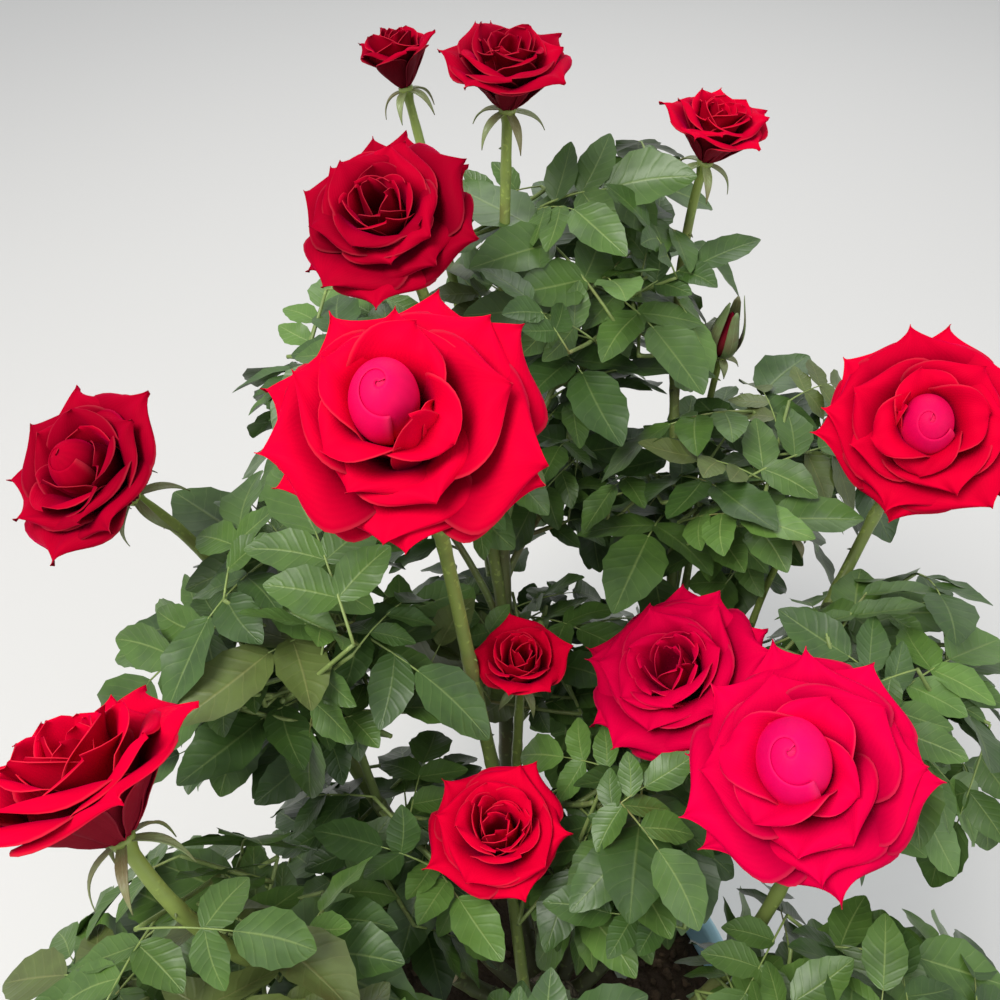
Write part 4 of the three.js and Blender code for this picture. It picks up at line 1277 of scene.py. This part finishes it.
def petal_sheet(ring, azimuth, radius, rows, columns, rng):
    """A petal in (out, along the ring, up) coordinates. Its midline is a Bezier curve from the foot to
    the tip. Its half width grows from the claw to past the middle and then runs in to the tip by a
    power, which makes the margins round or hollow. The angle of its cross section turns in with u,
    round the axis, and back with a high power of u, the rolled margin; adding up that angle's cosine
    and sine across the petal gives the place of each point."""
    v = np.linspace(0, 1, rows)[:, None] ** 0.85
    u = np.linspace(-1, 1, columns)[None, :]
    foot = np.array([0.05, 0.0]) * radius
    size = rng.uniform(0.93, 1.05)
    tip = np.array([ring.out * size, ring.up * rng.uniform(0.92, 1.05)]) * radius
    start = math.radians(ring.start)
    end = math.radians(ring.end + rng.uniform(-12, 12))
    reach = np.linalg.norm(tip - foot)
    first = foot + np.array([math.cos(start), math.sin(start)]) * reach * (0.5 - 0.16 * ring.snug)
    second = tip - np.array([math.cos(end), math.sin(end)]) * reach * (0.38 + 0.16 * ring.snug)
    line = Run(foot, first, second, tip)
    middle = line.point_at(v[:, 0])
    way = line.way_at(v[:, 0])
    widest = 0.62
    body = 0.2 + 0.8 * np.sin(np.pi / 2 * np.clip(v / widest, 0, 1))
    run_in = np.clip((v - widest) / (1 - widest), 0, 1)
    hollow = ring.hollow * rng.uniform(0.75, 1.2)
    width = ring.half * radius * size * body * (1 - run_in**1.5) ** hollow
    bend = ring.bend * np.minimum(width / np.maximum(middle[:, :1], 0.3 * radius), 1.3)
    late = np.clip((v - 0.3) / 0.6, 0, 1)
    sides = np.where(u < 0, rng.uniform(0.6, 1.25), rng.uniform(0.6, 1.25))
    roll = math.radians(ring.roll) * late**2 * (3 - 2 * late) * sides
    angle = bend * u - roll * np.sign(u) * np.abs(u) ** 2.2
    step = 2 / (columns - 1)
    across = np.cumsum(np.cos(angle), axis=1) * step
    push = np.cumsum(np.sin(angle), axis=1) * step
    centre = columns // 2
    across = (across - across[:, centre:centre + 1]) * width
    push = (push - push[:, centre:centre + 1]) * width
    lean = rng.uniform(-0.14, 0.14) * radius * v**3
    wave = radius * 0.03 * np.sin(2.1 * np.pi * u + rng.uniform(0, 6.28)) * v**2
    lap = radius * 0.03 * u * v
    push = push + wave * (1 - run_in**2) + lap
    across = across + lean
    out = middle[:, :1] - way[:, 1:] * push
    up = middle[:, 1:] + way[:, :1] * push
    c, s = math.cos(azimuth), math.sin(azimuth)
    return np.stack([out * c - across * s, out * s + across * c, up], -1)


def heart_sheet(radius, middle, spin):
    """The ball at the heart: a sheet wound once and three quarters round an egg that is a little wider
    one way. Its radius grows with the turn and its top edge sinks, so that each turn shows outside the
    one before."""
    turns = np.linspace(0, 1, 85)[None, :]
    v = np.linspace(0, 1, 25)[:, None]
    lowest_top = 1 + 46 * turns**2.2
    polar = np.radians(lowest_top + (150 - lowest_top) * (1 - v))
    wound = 0.86 + 0.15 * turns**1.6
    angle = spin + turns * 1.75 * 2 * np.pi + 0.35 * v
    z = middle + radius * 1.18 * np.cos(polar) * (0.97 + 0.03 * turns)
    return about_axis(radius * np.sin(polar) * wound, angle, z) * [0.96, 1.14, 1]


def heart_cap(radius, middle):
    """The closed inside of the ball, an egg a little within the wound sheet."""
    polar = np.radians(np.linspace(0, 150, 17))[:, None]
    return about_axis(radius * 0.80 * np.sin(polar), circle(32), middle + radius * 1.10 * np.cos(polar))


# The two small petals folded over a ball: the turn of each from the given side, and its shape
FOLDS = [
    (-0.45, Ring(1, 0.29, 0.90, 14, 98, 0.24, 0.9, 20, 0.6, 0.5)),
    (0.12, Ring(1, 0.28, 0.80, 14, 94, 0.19, 0.9, 15, 0.6, 0.5)),
]
# The materials of a bloom's piece, by their place in it
FRONT, BACK, HEART = 0, 1, 2


def bloom_looks(shade, hue):
    """The materials of one shade: petals from the front, with a darker throat that is partly painted shade,
    their backs, duller in their own colour and darker by painted shade, and the ball, whose pinker colour is
    a painted sheen and which shines a little."""
    # The ball's colour, pinker and lighter than the petals', and its still lighter claw: a painted pink
    # sheen
    heart = hue + [0.02, 0, 0.05]
    return [
        # The face's throat, darker than its blade: partly its own deeper red, partly painted shade where the
        # petals overlap
        petal_look("petal_face_" + shade, tuple(hue), tuple(hue * [0.36, 0.4, 0.5]), 0.35),
        # The backs, darker than the faces with an even darker claw: partly their own duller red, partly
        # painted shade on the sides that face away from the light
        petal_look("petal_back_" + shade, tuple(hue * 0.55), (0.22, 0.01, 0.02), 0.1),
        petal_look("petal_heart_" + shade, tuple(heart), tuple(hue + [0.03, 0.008, 0.06]), 0.4, 0.09),
    ]


RED_LOOKS = bloom_looks("red", np.array([0.70, 0.0, 0.026]))
PINK_LOOKS = bloom_looks("pink", np.array([0.72, 0.0, 0.048]))


def petal_tone(depth, rng):
    """One petal's depth of colour: the petals of a deeper bloom differ more from each other."""
    return depth * 0.72 + rng.uniform(0, 0.14 + 0.5 * depth)


def rings_of(opening, balled):
    """The rings of petals of a bloom by how far it is open."""
    if opening >= OPEN:
        return full_rings(balled)
    return half_rings(balled) if opening >= HALF_OPEN else tight_rings()


def make_bloom(flower):
    """Petals ring by ring round the heart, each ring half a step on from the last. The ball and the
    inner rings lie off the middle, the outer ones less, and petals on one side may be shorter."""
    number, radius, face = flower["number"], flower["radius"], flower["face"]
    rng = np.random.default_rng(number * 13)
    balled = number in BALLED
    depth = DEPTH.get(number, 0)
    right = unit(np.array([1.0, 0, 0]) - face * face[0])
    axes = np.stack([right, np.cross(face, right), face])
    aside, raised = OFF_MIDDLE.get(number, (0, 0))
    shift = (axes[0] * aside + axes[1] * raised) * radius
    short_side, shorter = SHORTER.get(number, (0, 0))
    rows = int(14 + radius / 5)
    columns = 11 + 2 * int(radius / 15)
    pile = Pile()
    if balled:
        ball = radius * BALLED[number]
        sits = radius * BALL_SITS["open" if flower["opening"] >= OPEN else "half"]
        # The ball of a deep bloom has the petals' own red, without the painted pink sheen of a bright one
        cover = FRONT if depth > 0.5 else HEART
        place = flower["base"] + shift
        pile.add(heart_sheet(ball, sits, flower["spin"]) @ axes + place, tone=depth, kind=cover)
        pile.add(heart_cap(ball, sits) @ axes + place, wrap=True, tone=depth, kind=cover, flip=True)
    if number in FOLDED:
        for turn, fold in FOLDS:
            sheet = petal_sheet(fold, math.radians(FOLDED[number]) + turn, radius, rows, columns, rng)
            pile.add(sheet @ axes + flower["base"] + shift * 0.8, tone=petal_tone(depth, rng))
    spin = flower["spin"]
    for k, ring in enumerate(rings_of(flower["opening"], balled)):
        spin += math.pi / ring.count
        place = flower["base"] + shift * max(0, 0.7 - 0.3 * k)
        for i in range(ring.count):
            azimuth = spin + 2 * math.pi / ring.count * (i + rng.uniform(-0.2, 0.2))
            reach = radius * (1 - shorter * max(0, math.cos(azimuth - math.radians(short_side))))
            sheet = petal_sheet(ring, azimuth, reach, rows, columns, rng)
            pile.add(sheet @ axes + place, tone=petal_tone(depth, rng), flip=True)
    looks = PINK_LOOKS if flower["pink"] > 0.5 else RED_LOOKS
    made = pile.piece(f"bloom_{number}_petals", looks, "petals", [f"bloom_{number}"])
    thicken(made, PETAL_THICK, material_step=BACK - FRONT)


for flower in blooms:
    make_bloom(flower)


BUD_RED = petal_look("bud_petal_red", (0.20, 0.004, 0.018), (0.16, 0.02, 0.02), 0.15)
BUD_GREEN = leaf_look("bud_green", (0.20, 0.24, 0.07), (0.30, 0.30, 0.12), (0.14, 0.12, 0.05))
BUD_SEPAL = leaf_look("bud_sepal_green", (0.13, 0.20, 0.07), (0.24, 0.30, 0.14), (0.12, 0.07, 0.04))


def bud_belly(v):
    """How wide a bud is along its length, in shares of its widest: widest below its middle."""
    return np.sin(np.pi * v**0.8) ** 0.8


def bud_petals(width):
    """A sheet wound twice into a pointed egg."""
    turns = np.linspace(0, 1, 49)[None, :]
    v = np.linspace(0, 1, 15)[:, None]
    egg = bud_belly(v) * (1 - 0.35 * v) + 0.02
    angle = turns * 2.2 * 2 * np.pi + v * 0.7
    z = width * 1.9 * v * (1 - 0.05 * (1 - turns)) - 1
    return about_axis(width * 0.56 * egg * (0.8 + 0.2 * turns), angle, z)


def bud_sepal(width, i):
    """One of the five sepals that wrap a bud: it follows the egg and flares out at its tip."""
    v = np.linspace(0, 1, 12)[:, None]
    u = np.linspace(-1, 1, 5)[None, :]
    half = width * 0.22 * np.sin(np.pi * (v * 0.8 + 0.2)) ** 0.8 + 0.2
    body = width * 0.60 * (bud_belly(v * 0.95) * (1 - 0.35 * v) + 0.05)
    flare = width * 0.5 * np.clip(v - 0.6, 0, 1) ** 2 * (1 + i % 2)
    angle = 2 * math.pi * i / 5 + half * u / np.maximum(body, 2)
    return about_axis(body + 0.7 + flare, angle, width * (2.1 + 0.25 * (i % 3)) * v - 1.5)


def make_bud(bud):
    """A closed bud, red where it is large and still green where it is small, in its sepals."""
    rng = np.random.default_rng(int(bud["width"]))
    width = bud["width"]
    axes = np.stack([*level_axes(bud["face"]), bud["face"]])
    look = BUD_RED if width > 15 else BUD_GREEN
    petals, guard = Pile(), Pile()
    petals.add(bud_petals(width) @ axes + bud["at"], tone=rng.uniform(0.1, 0.2))
    petals.piece(bud["name"] + "_petals", [look], "stem", [bud["name"]])
    for i in range(5):
        guard.add(bud_sepal(width, i) @ axes + bud["at"], tone=rng.uniform(0, 0.4))
    thicken(guard.piece(bud["name"] + "_sepals", [BUD_SEPAL], "stem"), BUD_SEPAL_THICK)


for bud in buds:
    make_bud(bud)


# Pieces: crown, pot and soil

def make_crown():
    """The knuckle of old wood: a rounded profile turned about the axis, swollen and grooved by waves
    round it."""
    foot, waist, knuckle, height = (CROWN[key] for key in ("foot", "waist", "knuckle", "height"))
    low = [(0, 0), (foot, 0), (foot * 0.82, 4), (waist, 13)]
    profile = rounded(low + [(knuckle, 30), (knuckle * 0.75, height - 3), (0, height)], 2)
    grid = lathe(profile, 48)
    turns, z = circle(48), profile[:, 1:]
    lumps = 1 + 0.05 * np.sin(turns * 3 + 1) + 0.035 * np.sin(turns * 7 + z * 0.4)
    lumps = lumps + 0.02 * np.sin(turns * 17 + z * 0.15)
    grid[..., :2] *= lumps[..., None] * 0.97
    grid[..., 2] += GROUND
    crown = Pile()
    crown.add(grid, wrap=True, tone=0.5)
    crown.piece("crown_wood", [BARK], "bark", ["crown"])


def wall_at(z):
    """The pot's outer radius at a height."""
    return POT["foot"] + (POT["rim"] - POT["lip"] - POT["foot"]) * z / POT["height"]


def pot_profile():
    """The pot's outline from the middle of its underside, up the outside, over the rolled rim and
    down the inside to the middle of its floor."""
    height, rim, foot = POT["height"], POT["rim"], POT["foot"]
    wall, floor, lip = POT["wall"], POT["floor"], POT["lip"]
    under = height - POT["lip_depth"]
    inner = rim - lip - wall
    outside = [(0, 0), (foot * 0.5, 0), (foot - 4, 0), (foot - 0.6, 0.5), (foot, 3)]
    outside += [(wall_at(z), z) for z in (12, 60, 120, 170, under - 9)]
    outside += [(wall_at(under - 6) + 0.9, under - 6)]
    outside += [(wall_at(z), z) for z in (under - 3, under)]
    roll = [(rim - 3, under + 0.4), (rim - 0.6, under + 2.6), (rim, under + 7), (rim, height - 6)]
    roll += [(rim - 0.8, height - 1.8), (rim - 3.6, height), (inner + 2.6, height)]
    roll += [(inner + 0.5, height - 0.9), (inner, height - 4)]
    inside = [(wall_at(z) - wall, z) for z in (under, 150, 80, floor + 5)]
    inside += [(wall_at(floor) - wall - 4, floor), (foot * 0.5, floor), (0, floor)]
    return np.array(outside + roll + inside, float)


def make_pot():
    """The turned pot with its drain holes cut through the floor."""
    pot = Pile()
    pot.add(lathe(pot_profile(), 120), wrap=True)
    shell = pot.piece("pot_shell", [pot_look()], "pot", ["pot"])
    for i in range(DRAIN["count"]):
        turn = 2 * math.pi * (i + 0.5) / DRAIN["count"]
        where = Vector(about_axis(DRAIN["ring"], turn, POT["floor"] / 2)) * MM
        radius = DRAIN["radius"] * MM
        bpy.ops.mesh.primitive_cylinder_add(vertices=24, radius=radius, depth=0.03, location=where)
        cutter = bpy.context.object
        cut = shell.modifiers.new("drain", "BOOLEAN")
        cut.operation = "DIFFERENCE"
        cut.solver = "EXACT"
        cut.object = cutter
        bpy.context.view_layer.update()
        done = bpy.data.meshes.new_from_object(shell.evaluated_get(bpy.context.evaluated_depsgraph_get()))
        shell.modifiers.clear()
        shell.data = done
        bpy.data.objects.remove(cutter)


def soil_radius(z):
    """The mix fills the pot to a little off its wall."""
    return wall_at(z) - POT["wall"] - SOIL_PLAY


def soil_height(share):
    """The height of the soil's low dome, by the share of the way from the middle to the wall."""
    return SOIL_TOP + SOIL_DOME * np.clip(1.6 * (1 - share), 0, 1)


def soil_body(rng):
    """The dome with uneven lumps, which fade at the crown and at the wall, then the wall and the
    bottom."""
    shares = np.linspace(0, 1, 46)[:, None]
    turns = circle(120)
    r = soil_radius(SOIL_TOP) * shares * np.ones(120)
    x, y = r * np.cos(turns), r * np.sin(turns)
    lump = 1.1 * np.sin(x * 0.21 + 1) * np.sin(y * 0.19 + 2) + 0.8 * np.sin(x * 0.53 + y * 0.31)
    lump = lump + 0.7 * np.sin(x * 0.9 - y * 1.1 + 0.5) * np.sin(y * 0.7 + x * 0.3)
    lump = lump + rng.uniform(-0.5, 0.5, r.shape)
    fade = np.clip((1 - shares) * 12, 0, 1) * np.clip(shares * 6 - 0.9, 0, 1)
    top = np.stack([x, y, soil_height(shares) + (lump - 1.2) * fade], -1)
    heights = np.array([SOIL_TOP - 14, 120, 12, POT["floor"] + GAP, POT["floor"] + GAP])[:, None]
    radii = soil_radius(heights) * [[1], [1], [1], [1], [0]]
    return np.concatenate([top, about_axis(radii, turns, heights)])


def soil_crumbs(rng):
    """Small uneven balls at random places between the crown and the wall, each sunk a little."""
    count = CRUMBS["count"]
    angle = rng.uniform(0, 6.283, count)
    widest = soil_radius(SOIL_TOP)
    far = (CROWN["foot"] + 5) + (widest - CROWN["foot"] - 10) * np.sqrt(rng.uniform(0, 1, count))
    size = rng.uniform(CRUMBS["smallest"], CRUMBS["largest"], count)
    middles = about_axis(far, angle, soil_height(far / widest) - 1.2 + size * 0.35)
    latitude = np.linspace(0, np.pi, 5)[:, None]
    ball = about_axis(np.sin(latitude), circle(6), np.cos(latitude))
    stretch = rng.uniform(0.5, 1.5, (count, 1, 1, 3)) * np.array([1.2, 0.9, 0.6])
    rough = 1 + rng.uniform(-0.25, 0.25, (count, 5, 6, 1)) * np.sin(latitude)[None, :, :, None]
    x, y, z = np.moveaxis(ball * stretch * rough, -1, 0)
    c, s = np.cos(angle * 7)[:, None, None], np.sin(angle * 7)[:, None, None]
    spun = np.stack([x * c - y * s, x * s + y * c, z], -1)
    return middles[:, None, None] + spun * size[:, None, None, None]


def make_soil():
    """The mix and its crumbs in one piece, each crumb with its own tone."""
    rng = np.random.default_rng(21)
    soil = Pile()
    soil.add(soil_body(rng), wrap=True, flip=True)
    soil.add(soil_crumbs(rng), wrap=True, tone=rng.uniform(0, 1, CRUMBS["count"]), flip=True)
    soil.piece("potting_mix_fill", [soil_look()], "soil", ["soil"])


make_crown()
make_pot()
make_soil()


# Floor, light and camera. The floor and the lights are given in metres.

FLOOR_HALF = 9.0
# Lights: name, place, what it points at, width, power, colour
LIGHTS = [
    ("key_light", (-1.0, -0.6, 2.6), (0, 0.1, 0.45), 1.3, 64, (1.0, 0.98, 0.95)),
    ("fill_light", (1.8, -1.2, 1.7), (0, 0.1, 0.45), 2.0, 18, (0.95, 0.98, 1.0)),
    ("back_light", (0.4, 2.4, 2.2), (0, 0.1, 0.5), 1.6, 16, (1.0, 1.0, 1.0)),
]
SKY = dict(colour=(0.93, 0.96, 1.0, 1), strength=0.68)
# The camera: the picture's width and focal length in pixels, its sensor in millimetres, its place in
# the part's millimetres, and how far it is tilted up from looking straight down
IMAGE = 1000
FOCAL = 980
SENSOR = 36.0
CAMERA_AT = (-35.7, -239.7, 990)
CAMERA_TILT = 45


def make_floor():
    """A plain matt floor under the pot."""
    corners = [(x * FLOOR_HALF, y * FLOOR_HALF, 0) for x, y in ((-1, -1), (1, -1), (1, 1), (-1, 1))]
    mesh = bpy.data.meshes.new("studio_floor")
    mesh.from_pydata(corners, [], [(0, 1, 2, 3)])
    look = Look("studio_floor", roughness=0.9)
    look.set(Base_Color=(0.62, 0.61, 0.59, 1))
    mesh.materials.append(look.material)
    new_object("studio_floor", mesh)


def softbox(name, place, target, size, power, colour):
    """A round area light that points at a target."""
    light = bpy.data.lights.new(name, "AREA")
    light.shape = "DISK"
    light.size = size
    light.energy = power
    light.color = colour
    made = new_object(name, light)
    made.location = place
    made.rotation_euler = (Vector(target) - Vector(place)).to_track_quat("-Z", "Y").to_euler()


def make_sky():
    """Even daylight from all sides."""
    world = bpy.data.worlds.new("studio")
    bpy.context.scene.world = world
    world.use_nodes = True
    sky = world.node_tree.nodes["Background"].inputs
    sky["Color"].default_value = SKY["colour"]
    sky["Strength"].default_value = SKY["strength"]


def make_camera():
    """The photograph's view, with colours shown as they are."""
    bpy.context.scene.view_settings.view_transform = "Standard"
    lens = bpy.data.cameras.new("camera")
    lens.sensor_width = SENSOR
    lens.lens = SENSOR * FOCAL / IMAGE
    lens.clip_end = 50
    camera = new_object("camera", lens)
    camera.location = Vector(CAMERA_AT) * MM
    camera.rotation_euler = (math.radians(CAMERA_TILT), 0, 0)
    bpy.context.scene.camera = camera


make_floor()
for light in LIGHTS:
    softbox(*light)
make_sky()
make_camera()
